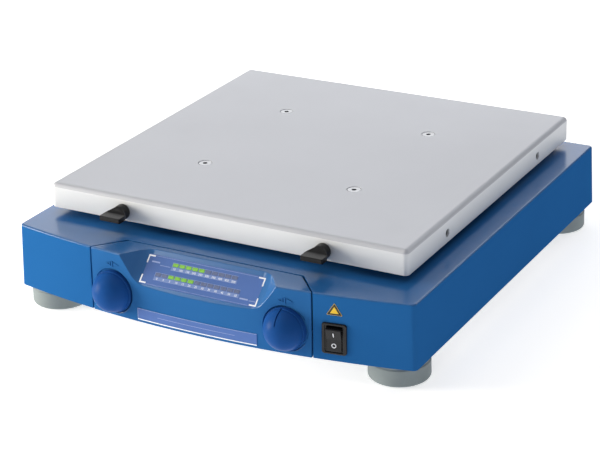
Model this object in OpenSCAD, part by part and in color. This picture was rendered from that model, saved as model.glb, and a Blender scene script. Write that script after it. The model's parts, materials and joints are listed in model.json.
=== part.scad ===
// Compact orbital shaker: a flat shaking tray on five eccentrics above a low drive housing.
// Units are millimetres. +Z is up, +X is to the right, -Y is the front with the control panel.
// The origin is at the centre of the footprint, on the surface that the feet stand on.

/* [Housing] */
// Width of the housing at its bottom edge
body_w = 370; // [360:1:380]
// Height of the housing's top face above the table
body_top = 72.3; // [70.5:0.1:74]
// Height of the housing's bottom edge above the table
body_bottom = 17.2; // [15:0.1:19]
// Wall thickness of the housing and the control panel
wall = 2.4; // [1.8:0.1:2.6]
// Lean of each side wall from bottom to top
draft = 1.7; // [0:0.1:2.5]
// How far the front bulges ahead of its corners
bulge = 20.3; // [14:0.1:24]

/* [Tray] */
// Side length of the square tray
tray_w = 334; // [320:1:340]
// Height of the tray's top face above the table
tray_top = 100; // [98:0.1:102]
// Height of the tray's folded rim
rim_h = 21.4; // [19:0.1:22]
// Thickness of the tray's sheet
sheet = 2; // [1.5:0.1:2.5]
// Distance between the tray's fixing screws
screw_pitch = 144; // [130:1:150]
// Distance between the two fastening places on each tray side
side_pitch = 188; // [160:1:220]

/* [Drive] */
// Radius of the orbit that the tray describes
orbit_r = 5; // [2:0.5:5]
// Distance of each support eccentric from the drive axis, along X and along Y
idler_pitch = 110; // [100:1:112]
// Working radius of the large belt pulley
pulley_r = 55; // [45:1:56]
// Working radius of the motor pulley
motor_pulley_r = 12; // [10:1:14]
// Distance from the drive axis back to the motor axis
motor_offset = 120; // [115:1:122]

/* [Controls] */
// Distance of each rotary knob from the middle
knob_x = 80; // [78:0.5:82]
// Height of the knob axes above the table
knob_z = 38.5; // [37.5:0.5:39]
// Radius of the knobs
knob_r = 18; // [16:0.5:18]
// Angle from upright of the right knob's pointer, clockwise
speed_angle = -5; // [-135:5:135]
// Angle from upright of the left knob's pointer, clockwise
timer_angle = -130; // [-135:5:135]
// Number of lit lamps in the upper row
lit_upper = 5; // [0:1:10]
// Number of lit lamps in the lower row
lit_lower = 4; // [0:1:11]

/* [Feet] */
// Radius of the rubber feet
foot_r = 25; // [20:0.5:25]
// Distance of each foot from the middle, along X
foot_x = 160; // [150:1:160]

/* [Hidden] */
$fn = 64;

blue = [0.07, 0.27, 0.58];
knob_blue = [0.05, 0.17, 0.47];
silver = [0.80, 0.81, 0.83];
steel = [0.62, 0.63, 0.65];
foot_grey = [0.50, 0.54, 0.53];
black = [0.05, 0.05, 0.06];

eps = 0.02;
gap = 0.4;

// Plan of the housing
back_y = 205;
corner_y = -171.3;
front_y = corner_y - bulge;
arc_r = (pow(body_w / 2, 2) + pow(bulge, 2)) / (2 * bulge);
arc_y = front_y + arc_r;
corner_r = 3;
edge = 1.4;
panel_front_x = 103;
panel_back_x = 82;
panel_side_y = -183.1;
panel_back_y = -158.9;

// Drive axis and levels
axis_y = 28.4;
plate_t = 2;
chassis_z = body_bottom + plate_t;
chassis_t = 6;
boss_z = chassis_z + chassis_t;
under_top = body_top - wall;
journal_r = 8.5;
main_bore_r = 17.5;
main_boss_r = 25;
main_boss_top = 47.4;
bearing_w = 10;
lower_bearing_z = boss_z;
upper_bearing_z = main_boss_top - bearing_w;
pin_r = 7.5;
pin_ring_r = 16;
pin_ring_w = 9;
pulley_z = 50;
pulley_h = 10;
crank_flange_z = pulley_z + pulley_h;
crank_flange_h = 6;
weight_h = 7;
idler_r = 6;
bush_r = 8;
idler_boss_r = 12;
idler_boss_top = 52;
web_z = idler_boss_top + 1;
web_h = 6;
web_r = 13;
run = 0.05;
corners = [[-1, -1], [1, -1], [-1, 1], [1, 1]];

// Carrier under the tray
hub_z = tray_top - 20;
carrier_top = tray_top - sheet;
arm_z = carrier_top - 8;
pin_top = hub_z + 9.5;
idler_pin_top = hub_z + 11;
lip_r = 16;
lip_t = 2;
lip_h = 4;
main_lip_r = 17;
cap_t = 1.5;

// Controls
recess_top_y = -165.6;
recess_half = 57;
recess_flare_y = 0.7424;
recess_slope = 43.8;
recess_flare_z = recess_flare_y / tan(recess_slope);
lamp_pitch = 6.1;
lamp_first_x = -42.5;
lamp_size = [5.2, 3.2, 0.6];
upper_row = 9.9;
lower_row = 21.0;
upper_count = 10;
lower_count = 13;
upper_skip = 2;
lower_skip = 2;
film_t = 0.4;
knob_face_y = -185.1;
knob_clear = 0.2;
knob_rim = 4.7;
dome_h = 15;
dome_foot_r = knob_r - 0.8;
well_r = knob_r + 1.2;
well_wall = 2.2;
mark_z = 62.2;
marker_z = 60.8;
switch_x = 120.7;
switch_z = 36.5;
switch_size = [20.4, 26];
rocker_w = 12.4;
rocker_pivot_y = 2.6;
rocker_tilt = 8;
lever_z = 87;
lever_x = side_pitch / 2;
side_hole_z = 87;
side_hole_r = 3.5;
thread_r = 2.1;
inlet_x = 110;
inlet_z = 44;
foot_y = [-149.8, 178.8];
housing_boss = [[-174, -110], [174, -110], [-174, 28], [174, 28], [-174, 140], [174, 140]];
lug_x = 48;

function front_at(x, inset = 0) = arc_y - sqrt(pow(arc_r - inset, 2) - x * x);
function lean(z) = draft * (z - body_bottom) / (body_top - body_bottom);
lean_angle = atan(draft / (body_top - body_bottom));
lug_y = front_at(lug_x) + 11;

// ---------- shared shapes ----------

module tube(r_out, r_in, h, z = 0) {
    translate([0, 0, z]) difference() {
        cylinder(r = r_out, h = h);
        translate([0, 0, -1]) cylinder(r = r_in, h = h + 2);
    }
}

module slab(x0, x1, y0, y1, z0, z1) {
    translate([x0, y0, z0]) cube([x1 - x0, y1 - y0, z1 - z0]);
}

module at_axis() {
    translate([0, axis_y, 0]) children();
}

module at_tray() {
    translate([-orbit_r, axis_y, 0]) children();
}

module at_idler(c) {
    translate([c[0] * idler_pitch, axis_y + c[1] * idler_pitch, 0]) children();
}

// Plan outline of the housing, moved inwards by inset
module body_outline(inset = 0) {
    half = body_w / 2 - inset;
    steps = 24;
    offset(r = corner_r, $fn = 32) offset(delta = -corner_r) polygon(concat(
        [for (i = [0 : steps]) let (x = -half + 2 * half * i / steps) [x, front_at(x, inset)]],
        [[half, back_y - inset], [-half, back_y - inset]]
    ));
}

module body_section(inset, z) {
    translate([0, 0, z]) linear_extrude(eps) body_outline(inset);
}

// Solid inside the housing's outer skin, with leaning walls and a soft top edge
module body_solid() {
    hull() {
        body_section(0, body_bottom);
        body_section(draft, body_top - edge);
        body_section(draft + edge * 0.3, body_top - edge * 0.3);
        body_section(draft + edge, body_top - eps);
    }
}

// Hollow inside the walls, open downwards
module body_hollow(t = wall) {
    hull() {
        body_section(t, body_bottom - 1);
        body_section(draft + t, body_top - t - eps);
    }
}

// Plan of the cut-out that the control panel fills, moved inwards by c
module panel_outline(c = 0) {
    polygon([
        [-panel_front_x + c, front_y - 20], [-panel_front_x + c, panel_side_y],
        [-panel_back_x + c * 0.8, panel_back_y - c], [panel_back_x - c * 0.8, panel_back_y - c],
        [panel_front_x - c, panel_side_y], [panel_front_x - c, front_y - 20]
    ]);
}

// Wedge of air over the sloping display; t moves its floor and sides outwards into the material
module display_wedge(t = 0) {
    rise = tan(recess_slope);
    function floor_z(y) = body_top - (recess_top_y - y) * rise - t * 1.39;
    function side_x(y, z) = recess_half - recess_flare_y * (y - recess_top_y)
        + recess_flare_z * (z - body_top) + t * 1.4;
    top = body_top + 8;
    y_out = front_y - 8;
    y_back = recess_top_y + (top - body_top + t * 1.39) / rise;
    ends = [[y_back, top], [y_out, top], [y_out, floor_z(y_out)]];
    polyhedron(
        points = [for (s = [-1, 1]) for (e = ends) [s * side_x(e[0], e[1]), e[0], e[1]]],
        faces = [[0, 1, 2], [5, 4, 3], [0, 3, 4, 1], [1, 4, 5, 2], [2, 5, 3, 0]]
    );
}

// Places children on the display slope: x across, y down the slope, z out of it
module on_display() {
    translate([0, recess_top_y, body_top]) rotate([recess_slope, 0, 0])
        mirror([0, 1, 0]) children();
}

// Places children on the curved front at x: x along the face, y inwards, z up
module on_front(x, z) {
    translate([x, front_at(x) + lean(z), z]) rotate([0, 0, asin(x / arc_r)])
        rotate([-lean_angle, 0, 0]) children();
}

// ---------- housing ----------

module shaft_openings(extra = 0) {
    at_axis() translate([0, 0, under_top - 1]) cylinder(r = main_lip_r + extra, h = 20);
    for (c = corners) at_idler(c) translate([0, 0, under_top - 1])
        cylinder(r = lip_r - lip_t + extra, h = 20);
}

module housing_shell() {
    color(blue) difference() {
        union() {
            difference() {
                body_solid();
                body_hollow();
                translate([0, 0, body_bottom - 5]) linear_extrude(80) panel_outline();
            }
            at_axis() tube(main_lip_r + lip_t, main_lip_r, lip_h + 1, body_top - 1);
            for (c = corners) at_idler(c) tube(lip_r, lip_r - lip_t, lip_h + 1, body_top - 1);
            for (p = housing_boss) translate([p[0], p[1], chassis_z])
                cylinder(r = 5, h = under_top - chassis_z + 1);
            for (s = [-1, 1]) hull() for (p = [[-1, 0], [9, 0], [-1, 9]])
                translate([s * (panel_front_x + 2.4 + p[0]), panel_side_y + 15 + p[1], under_top - 2])
                    cylinder(r = 1.2, h = 3, $fn = 24);
        }
        shaft_openings();
        for (p = housing_boss) translate([p[0], p[1], chassis_z - 1]) cylinder(r = 1.65, h = 16);
        on_front(switch_x, switch_z) slab(-8.7, 8.7, -8, 8, -11.4, 11.4);
        slab(inlet_x - 14.2, inlet_x + 14.2, back_y - 8, back_y + 2, inlet_z - 10.6, inlet_z + 10.6);
        slab(inlet_x - 16.4, inlet_x + 16.4, back_y - 1.2, back_y + 2, inlet_z - 12.6, inlet_z + 12.6);
    }
}

module panel_solid() {
    intersection() {
        body_solid();
        translate([0, 0, body_bottom - 5]) linear_extrude(80) panel_outline(gap * 2);
    }
}

// Small raised arrow mark over a knob: an open arrowhead and a solid wedge
module turn_mark(x) {
    on_front(x, mark_z) rotate([90, 0, 0]) linear_extrude(0.7, center = true) {
        difference() {
            polygon([[-6.6, 0], [-1.6, 1.7], [-1.6, -1.7]]);
            polygon([[-5.0, 0], [-2.2, 0.9], [-2.2, -0.9]]);
        }
        polygon([[-0.6, 2.2], [0.5, 2.2], [0.5, -2.2], [-0.6, -2.2]]);
        polygon([[1.4, 1.7], [6.6, 0], [1.4, -1.7]]);
    }
}

module control_panel() {
    color(blue) difference() {
        union() {
            difference() {
                panel_solid();
                difference() {
                    body_hollow(wall + 0.4);
                    display_wedge(wall);
                }
                display_wedge();
            }
            for (s = [-1, 1]) intersection() {
                panel_solid();
                translate([s * knob_x, knob_face_y + 2.6, knob_z]) rotate([90, 0, 0])
                    cylinder(r = well_r + well_wall, h = 8);
                slab(-body_w, body_w, front_y, back_y, chassis_z + 0.2, body_top);
            }
            for (s = [-1, 1]) slab(s * lug_x - 6, s * lug_x + 6, lug_y - 9.5, lug_y + 6,
                chassis_z + 0.1, chassis_z + 5);
            for (s = [-1, 1]) turn_mark(s * knob_x);
        }
        for (s = [-1, 1]) translate([s * knob_x, knob_face_y, knob_z]) rotate([90, 0, 0]) {
            cylinder(r = well_r, h = 20);
            translate([0, 0, -12]) cylinder(r = 4.6, h = 20);
        }
        for (s = [-1, 1]) translate([s * lug_x, lug_y, chassis_z - 1]) cylinder(r = 1.65, h = 5);
    }
}

module plate_hole(x, y, r) {
    translate([x, y, body_bottom - 1]) cylinder(r = r, h = plate_t + 2);
}

module bottom_plate() {
    color(steel) difference() {
        translate([0, 0, body_bottom]) linear_extrude(plate_t) body_outline(wall + gap * 2);
        for (p = housing_boss) plate_hole(p[0], p[1], 2.2);
        for (s = [-1, 1]) plate_hole(s * lug_x, lug_y, 2.2);
        for (s = [-1, 1]) for (y = foot_y) plate_hole(s * foot_x, y, 3.2);
        for (i = [-3 : 3]) for (s = [-1, 1]) plate_hole(i * 12, s * 18 - 90, 2);
    }
}

module rib(p, q, w, z, h) {
    d = q - p;
    translate([p[0], p[1], z]) rotate([0, 0, atan2(d[1], d[0])])
        translate([0, -w / 2, 0]) cube([norm(d), w, h]);
}

module chassis_frame() {
    half = 167;
    color([0.66, 0.67, 0.68]) difference() {
        union() {
            slab(-half, half, -120, 197, chassis_z, boss_z);
            for (s = [-1, 1]) slab(s > 0 ? 128 : -half, s > 0 ? half : -128, -165, -119, chassis_z, boss_z);
            at_axis() cylinder(r = main_boss_r, h = main_boss_top);
            for (c = corners) at_idler(c) cylinder(r = idler_boss_r, h = idler_boss_top);
            for (c = corners) rib([0, axis_y], [c[0], c[1]] * idler_pitch + [0, axis_y], 5, boss_z - 1, 9);
            for (s = [-1, 1]) rib([s, -1] * idler_pitch + [0, axis_y], [s, 1] * idler_pitch + [0, axis_y],
                5, boss_z - 1, 7);
        }
        at_axis() {
            translate([0, 0, -1]) cylinder(r = 60, h = chassis_z + 1);
            translate([0, 0, lower_bearing_z]) cylinder(r = main_bore_r, h = bearing_w);
            translate([0, 0, upper_bearing_z]) cylinder(r = main_bore_r, h = bearing_w + 1);
            translate([0, 0, chassis_z - 1]) cylinder(r = 14, h = 40);
        }
        for (c = corners) at_idler(c) {
            translate([0, 0, -1]) cylinder(r = 20, h = chassis_z + 1);
            translate([0, 0, boss_z]) cylinder(r = bush_r, h = 40);
        }
        translate([0, axis_y + motor_offset, chassis_z - 1]) cylinder(r = 20, h = 20);
        for (s = [-1, 1]) for (y = foot_y) translate([s * foot_x, y, chassis_z - 1])
            cylinder(r = 3, h = chassis_t + 2);
        for (p = chassis_screw_places()) translate([p[0], p[1], chassis_z - 1])
            cylinder(r = 2, h = chassis_t + 2);
    }
}

function chassis_screw_places() = [
    for (s = [-1, 1]) for (y = [-100, 100]) [s * 150, y],
    for (s = [-1, 1]) for (y = [-1, 1]) [s * 30, axis_y + motor_offset + y * 30]
];

module foot(x, y) {
    color(foot_grey) translate([x, y, 0]) difference() {
        rotate_extrude($fn = 96) polygon(concat(
            [[3.2, 8], [8, 8], [8, 0.8], [9, 0]],
            [for (a = [0 : 15 : 90]) [foot_r - 2.2 + 2.2 * sin(a), 2.2 - 2.2 * cos(a)]],
            [[foot_r, body_bottom - 2.6], [foot_r - 0.9, body_bottom - 2.0]],
            [[foot_r - 0.9, body_bottom], [3.2, body_bottom]]
        ));
    }
}

module foot_screws() {
    color(steel) for (s = [-1, 1]) for (y = foot_y) translate([s * foot_x, y, 0]) difference() {
        union() {
            translate([0, 0, 4.6]) cylinder(r = 5.2, h = 3.4);
            translate([0, 0, 4.6]) cylinder(r = 2.95, h = boss_z - 5);
        }
        translate([0, 0, 4]) cylinder(r = 2.6, h = 2.6, $fn = 6);
    }
}

// Pan-head screw, head down, with its head's top at the origin
module pan_screw(r, length) {
    difference() {
        union() {
            translate([0, 0, -r * 1.2]) cylinder(r1 = r * 1.5, r2 = r * 1.9, h = r * 0.6);
            translate([0, 0, -r * 0.6]) cylinder(r = r * 1.9, h = r * 0.6);
            cylinder(r = r, h = length);
        }
        for (a = [0, 90]) rotate([0, 0, a]) translate([-r, -r * 0.15, -r * 1.2 - eps])
            cube([2 * r, r * 0.3, r * 0.7]);
    }
}

module housing_screws() {
    color(steel) {
        for (p = housing_boss) translate([p[0], p[1], body_bottom]) pan_screw(1.6, 14);
        for (s = [-1, 1]) translate([s * lug_x, lug_y, body_bottom]) pan_screw(1.6, 6);
    }
}

module chassis_screws() {
    color(steel) for (p = chassis_screw_places())
        translate([p[0], p[1], boss_z + (norm([p[0], p[1] - axis_y - motor_offset]) < 60 ? 2 : 0)])
            mirror([0, 0, 1]) pan_screw(1.9, chassis_t - 1);
}

// ---------- display and labels ----------

module lamp_window(i, row, extra = 0) {
    translate([lamp_first_x + lamp_pitch * (i + 0.5), row, 0])
        cube([lamp_size[0] + extra, lamp_size[1] + extra, 4], center = true);
}

module lamp(i, row) {
    translate([lamp_first_x + lamp_pitch * (i + 0.5), row, lamp_size[2] / 2]) cube(lamp_size, center = true);
}

module display_window() {
    color([0.20, 0.33, 0.62]) on_display() difference() {
        translate([-55.4, 4.6, 0]) cube([110.8, 26.0, film_t]);
        for (i = [0 : upper_count - 1]) lamp_window(i + upper_skip, upper_row, 0.1);
        for (i = [0 : lower_count - 1]) lamp_window(i, lower_row, 0.1);
    }
}

module lamps_lit() {
    color([0.62, 0.85, 0.15]) on_display() {
        for (i = [0 : 1 : lit_upper - 1]) lamp(i + upper_skip, upper_row);
        for (i = [0 : 1 : lit_lower - 1]) lamp(i + lower_skip, lower_row);
    }
}

module lamps_unlit() {
    color([0.36, 0.40, 0.42]) on_display() {
        for (i = [lit_upper : 1 : upper_count - 1]) lamp(i + upper_skip, upper_row);
        for (i = [0 : 1 : lower_skip - 1]) lamp(i, lower_row);
        for (i = [lit_lower + lower_skip : 1 : lower_count - 1]) lamp(i, lower_row);
    }
}

// Film of thickness t lying on the curved front, between two heights
module front_film(half, z0, z1, t) {
    steps = 12;
    xs = [for (i = [0 : steps]) -half + 2 * half * i / steps];
    shift = lean((z0 + z1) / 2);
    translate([0, shift, z0]) linear_extrude(z1 - z0) polygon(concat(
        [for (x = xs) [x, front_at(x) - t]],
        [for (i = [steps : -1 : 0]) [xs[i], front_at(xs[i])]]
    ));
}

module label_strip() {
    color([0.17, 0.30, 0.62]) intersection() {
        difference() {
            front_film(55.5, 19.6, 28.4, 1.2);
            front_film(80, 10, 40, 0);
        }
        difference() {
            front_film(60, 18, 30, 0.6);
            body_solid();
        }
    }
}

module marker_sticker() {
    color([0.95, 0.76, 0.10]) difference() {
        on_front(switch_x, marker_z) rotate([90, 0, 0]) linear_extrude(1.2, center = true)
            polygon([[0, 5.3], [-6.5, -4.7], [6.5, -4.7]]);
        body_solid();
        on_front(switch_x, marker_z) rotate([90, 0, 0]) translate([-10, -10, 0.1]) cube([20, 20, 3]);
    }
}

// ---------- electrics ----------

module control_board() {
    color([0.05, 0.35, 0.18]) slab(-92, 92, -160, -158.4, 27, 62);
    color(black) {
        slab(-14, 14, -158.4, -154.8, 40, 52);
        slab(26, 40, -158.4, -155.4, 44, 54);
        for (i = [0 : 5]) slab(-80 + i * 9, -76 + i * 9, -158.4, -155.9, 52, 57);
        slab(60, 84, -158.4, -150.4, 30, 36);
    }
}

module power_board() {
    color([0.05, 0.35, 0.18]) slab(-88, 88, -146, -98, 31, 32.6);
    color(steel) for (x = [-82, 82]) for (y = [-116, -102]) translate([x, y, boss_z])
        cylinder(r = 3, h = 31 - boss_z);
    color([0.15, 0.15, 0.20]) for (x = [20, 36, 52]) translate([x, -112, 32.6]) cylinder(r = 6.5, h = 22);
    color(black) {
        slab(-4, 10, -140, -126, 32.6, 46);
        slab(20, 60, -142, -128, 32.6, 40);
        slab(66, 84, -142, -126, 32.6, 42);
    }
}

module transformer() {
    color([0.30, 0.31, 0.34]) slab(-78, -26, -140, -104, 32.6, 36.6);
    color([0.42, 0.43, 0.46]) difference() {
        slab(-76, -28, -138, -106, 36.6, 64);
        slab(-64, -40, -150, -130, 42, 58);
        slab(-64, -40, -114, -90, 42, 58);
    }
    color([0.72, 0.55, 0.15]) {
        slab(-63, -41, -140, -130, 43, 57);
        slab(-63, -41, -114, -104, 43, 57);
    }
}

module ribbon_cable() {
    color([0.55, 0.56, 0.58]) {
        slab(62, 82, -150.4, -148, 32, 33.4);
        slab(62, 82, -148, -146.6, 32.8, 50);
        slab(62, 82, -146.6, -134, 48.6, 50);
        slab(68, 82, -135.4, -134, 42, 48.6);
    }
}

// Route of the mains wires from the inlet, along the right side, to the switch
lead_path = [
    [110, 176, 40], [113, 169, 34], [128, 164, 30], [152, 152, 29], [159, 120, 29], [159, 60, 29],
    [159, 0, 29], [159, -60, 29], [156, -110, 29], [144, -138, 31], [132, -152, 34], [125.5, -160, 36]
];
lead_sides = 8;
lead_r = 2.6;

function route(p, t) = let (
    n = len(p) - 1, s = min(max(t, 0), 0.99999) * n, i = floor(s), u = s - i,
    a = p[max(i - 1, 0)], b = p[i], c = p[i + 1], d = p[min(i + 2, n)]
) 0.5 * (2 * b + (c - a) * u + (2 * a - 5 * b + 4 * c - d) * u * u + (3 * b - a - 3 * c + d) * u * u * u);

module mains_lead() {
    rings = 60;
    n = lead_sides;
    points = [for (k = [0 : rings]) let (
        t = k / rings,
        c = route(lead_path, t),
        e = route(lead_path, t + 0.002) - route(lead_path, t - 0.002),
        f = e / norm(e),
        side = cross(f, [0, 0, 1]) / norm(cross(f, [0, 0, 1])),
        up = cross(side, f)
    ) for (j = [0 : n - 1]) c + lead_r * (side * cos(360 * j / n) + up * sin(360 * j / n))];
    color([0.35, 0.36, 0.38]) polyhedron(points = points, faces = concat(
        [[for (j = [0 : n - 1]) j]],
        [for (k = [0 : rings - 1]) for (j = [0 : n - 1])
            [k * n + j, (k + 1) * n + j, (k + 1) * n + (j + 1) % n, k * n + (j + 1) % n]],
        [[for (j = [n - 1 : -1 : 0]) rings * n + j]]
    ));
}

module potentiometer(x) {
    color([0.30, 0.32, 0.34]) translate([x, knob_face_y + 2.8, knob_z]) rotate([-90, 0, 0]) difference() {
        union() {
            translate([0, 0, -2.6]) cylinder(r = 4.4, h = 3.6);
            cylinder(r = 9, h = 9);
            for (i = [-1, 1]) translate([i * 5, 4, 8]) cylinder(r = 0.8, h = -160.05 - knob_face_y - 10.8);
        }
        translate([0, 0, -6]) cylinder(r = 3 + run, h = 13);
    }
}

module switch_frame() {
    w = switch_size[0] / 2;
    h = switch_size[1] / 2;
    color(black) on_front(switch_x, switch_z) difference() {
        union() {
            hull() for (s = corners) translate([s[0] * (w - 2), -0.08, s[1] * (h - 2)]) rotate([90, 0, 0]) {
                cylinder(r = 2, h = 1.0, $fn = 32);
                cylinder(r = 1.4, h = 1.6, $fn = 32);
            }
            slab(-8.3, 8.3, -0.6, 18, -11, 11);
        }
        slab(-rocker_w / 2 - 0.3, rocker_w / 2 + 0.3, -4, 9, -10.6, 10.6);
        translate([0, rocker_pivot_y, 0]) rotate([0, 90, 0])
            cylinder(r = 1.3, h = rocker_w + 2, center = true);
    }
    color([0.75, 0.6, 0.3]) on_front(switch_x, switch_z) for (z = [-7, 0, 7])
        slab(-2.4, 2.4, 18, 24, z - 0.4, z + 0.4);
}

// The rocker turns on two stub pins; it rests with its lower end pressed in
module power_rocker() {
    color(black) on_front(switch_x, switch_z) translate([0, rocker_pivot_y, 0]) rotate([rocker_tilt, 0, 0]) {
        rotate([0, 0, 180]) rotate([90, 0, 90]) linear_extrude(rocker_w, center = true) polygon([
            [5.4, -9.9], [5.8, -9.2], [4.1, 0], [5.8, 9.2], [5.4, 9.9],
            [0.5, 9.6], [-3.2, 2], [-3.2, -2], [0.5, -9.6]
        ]);
        rotate([0, 90, 0]) cylinder(r = 1.25, h = rocker_w + 1.6, center = true);
    }
}

module inlet_body() {
    color(black) translate([inlet_x, back_y, inlet_z]) difference() {
        union() {
            slab(-16, 16, -draft * 0.6, 0, -12.2, 12.2);
            slab(-13.8, 13.8, -26, -0.5, -10.2, 10.2);
        }
        translate([0, 1, 0]) rotate([90, 0, 0]) linear_extrude(17) polygon([
            [-12.3, -8.5], [12.3, -8.5], [12.3, 4.8], [8.6, 8.5], [-8.6, 8.5], [-12.3, 4.8]
        ]);
    }
}

module inlet_pins() {
    color([0.75, 0.72, 0.60]) translate([inlet_x, back_y, inlet_z]) {
        for (x = [-7, 7]) slab(x - 1, x + 1, -16, -3.5, -4, 0);
        slab(-1, 1, -16, -2, 1.5, 5.5);
    }
}

// ---------- motor and belt ----------

module at_motor() {
    translate([0, axis_y + motor_offset, 0]) children();
}

module motor_bracket() {
    color(steel) at_motor() difference() {
        translate([-40, -40, boss_z]) cube([80, 80, 2]);
        translate([0, 0, boss_z - 1]) cylinder(r = 12, h = 4);
        for (x = [-30, 30]) for (y = [-30, 30]) translate([x, y, boss_z - 1]) cylinder(r = 2.2, h = 4);
    }
}

module motor_body() {
    color([0.25, 0.26, 0.28]) at_motor() difference() {
        union() {
            translate([0, 0, boss_z + 2]) cylinder(r = 34, h = 17);
            translate([0, 0, boss_z + 19]) cylinder(r = 12, h = 2);
            for (a = [0 : 30 : 330]) rotate([0, 0, a]) translate([33, -1, boss_z + 4]) cube([3, 2, 13]);
        }
        translate([0, 0, boss_z]) cylinder(r = 3 + run, h = 30);
    }
}

module motor_shaft() {
    color(steel) at_motor() translate([0, 0, boss_z + 4])
        cylinder(r = 3, h = pulley_z + pulley_h - 2 - boss_z);
}

module motor_pulley() {
    color([0.55, 0.56, 0.58]) at_motor() difference() {
        translate([0, 0, pulley_z]) union() {
            cylinder(r = motor_pulley_r, h = pulley_h);
            cylinder(r = motor_pulley_r + 2, h = 1);
            translate([0, 0, pulley_h - 1]) cylinder(r = motor_pulley_r + 2, h = 1);
        }
        translate([0, 0, pulley_z - 1]) cylinder(r = 3, h = pulley_h + 2);
    }
}

module belt_loop(grow) {
    hull() {
        translate([0, axis_y]) circle(r = pulley_r + grow, $fn = 96);
        translate([0, axis_y + motor_offset]) circle(r = motor_pulley_r + grow, $fn = 96);
    }
}

module drive_belt() {
    color([0.09, 0.09, 0.09]) translate([0, 0, pulley_z + 1.3]) linear_extrude(pulley_h - 2.6) difference() {
        belt_loop(1.6);
        belt_loop(0.3);
    }
}

module drive_pulley() {
    color([0.55, 0.56, 0.58]) at_axis() translate([0, 0, pulley_z]) difference() {
        union() {
            cylinder(r = pulley_r, h = pulley_h);
            cylinder(r = pulley_r + 2, h = 1);
            translate([0, 0, pulley_h - 1]) cylinder(r = pulley_r + 2, h = 1);
        }
        tube(pulley_r - 5, 15, 4, -1);
        tube(pulley_r - 5, 15, 4, pulley_h - 3);
        for (a = [30 : 60 : 330]) rotate([0, 0, a]) translate([33, 0, -1]) cylinder(r = 9, h = pulley_h + 2);
        translate([0, 0, -1]) cylinder(r = journal_r, h = pulley_h + 2);
    }
}

// ---------- crank and bearings ----------

// One ring of a deep-groove ball bearing, with a round ball track
module bearing_ring(r_out, r_in, w, track_r, ball_r) {
    rotate_extrude($fn = 96) difference() {
        translate([r_in, 0]) square([r_out - r_in, w]);
        translate([track_r, w / 2]) circle(r = ball_r + run, $fn = 48);
    }
}

module bearing_balls(count, track_r, ball_r, w) {
    for (i = [0 : count - 1]) rotate([0, 0, 360 * i / count])
        translate([track_r, 0, w / 2]) sphere(r = ball_r, $fn = 32);
}

module main_bearing_outer_rings() {
    color(steel) at_axis() for (z = [lower_bearing_z, upper_bearing_z])
        translate([0, 0, z]) bearing_ring(main_bore_r, 14.6, bearing_w, 13, 2.6);
}

module main_bearing_balls() {
    color(silver) at_axis() for (z = [lower_bearing_z, upper_bearing_z])
        translate([0, 0, z]) bearing_balls(9, 13, 2.6, bearing_w);
}

module crank_bearing_inner_rings() {
    color(steel) {
        at_axis() for (z = [lower_bearing_z, upper_bearing_z])
            translate([0, 0, z]) bearing_ring(11.4, journal_r, bearing_w, 13, 2.6);
        at_tray() translate([0, 0, hub_z]) bearing_ring(10.4, pin_r, pin_ring_w, 11.8, 2.4);
    }
}

module crank_shaft() {
    color(steel) {
        at_axis() {
            translate([0, 0, boss_z + 0.3]) cylinder(r = journal_r, h = crank_flange_z - boss_z);
            translate([0, 0, crank_flange_z]) cylinder(r = 15, h = crank_flange_h);
        }
        at_tray() translate([0, 0, crank_flange_z + 1]) cylinder(r = pin_r, h = pin_top - crank_flange_z - 1);
    }
}

module counterweight() {
    color([0.45, 0.46, 0.48]) at_axis() difference() {
        translate([0, 0, crank_flange_z]) cylinder(r = pulley_r - 5, h = weight_h);
        translate([0, 0, crank_flange_z - 1]) cylinder(r = 18, h = weight_h + 2);
        slab(-80, 6, -80, 80, crank_flange_z - 1, crank_flange_z + weight_h + 1);
    }
}

module idler_crank(c) {
    color(steel) at_idler(c) {
        translate([0, 0, boss_z + 0.5]) cylinder(r = idler_r, h = web_z - boss_z);
        translate([0, 0, web_z]) cylinder(r = web_r, h = web_h);
        translate([-orbit_r, 0, web_z + 1]) cylinder(r = idler_r, h = idler_pin_top - web_z - 1);
    }
}

module base_bushes() {
    color([0.72, 0.55, 0.28]) for (c = corners) at_idler(c)
        tube(bush_r, idler_r + run, idler_boss_top - boss_z, boss_z);
}

// ---------- tray ----------

// Block with rounded top edges and upright edges, standing on z
module soft_block(w, r, z, top) {
    hull() for (s = corners) translate([s[0] * (w / 2 - r), s[1] * (w / 2 - r), 0]) {
        translate([0, 0, top - r]) sphere(r = r, $fn = 32);
        translate([0, 0, top - eps]) cylinder(r = r * 0.1, h = eps, $fn = 32);
        translate([0, 0, z]) cylinder(r = r, h = top - r - z, $fn = 32);
    }
}

// Runs children at the two fastening places of each side in the list of angles
module at_side_places(angles) {
    for (a = angles) rotate([0, 0, a]) for (s = [-1, 1]) translate([s * side_pitch / 2, -tray_w / 2, 0])
        rotate([-90, 0, 0]) children();
}

// Runs children at the tray's four fixing screws
module at_screws() {
    for (c = corners) translate([c[0] * screw_pitch / 2, c[1] * screw_pitch / 2, 0]) children();
}

// Runs children under the tray above each support eccentric
module at_hubs() {
    for (c = corners) translate([c[0] * idler_pitch, c[1] * idler_pitch, 0]) children();
}

module tray() {
    color(silver) at_tray() difference() {
        soft_block(tray_w, 4, tray_top - rim_h, tray_top);
        soft_block(tray_w - 2 * sheet, 2.4, tray_top - rim_h - 1, tray_top - sheet);
        at_screws() {
            translate([0, 0, tray_top - sheet]) cylinder(r1 = 4.3, r2 = 6.3, h = sheet + eps);
            translate([0, 0, tray_top - sheet - 1]) cylinder(r = 4.3, h = 2);
        }
        at_side_places([90, 180, 270]) translate([0, -side_hole_z, -1])
            cylinder(r = side_hole_r, h = sheet + 2);
        at_side_places([0]) translate([0, -lever_z, -1]) cylinder(r = 3.2, h = sheet + 2);
    }
}

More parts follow.
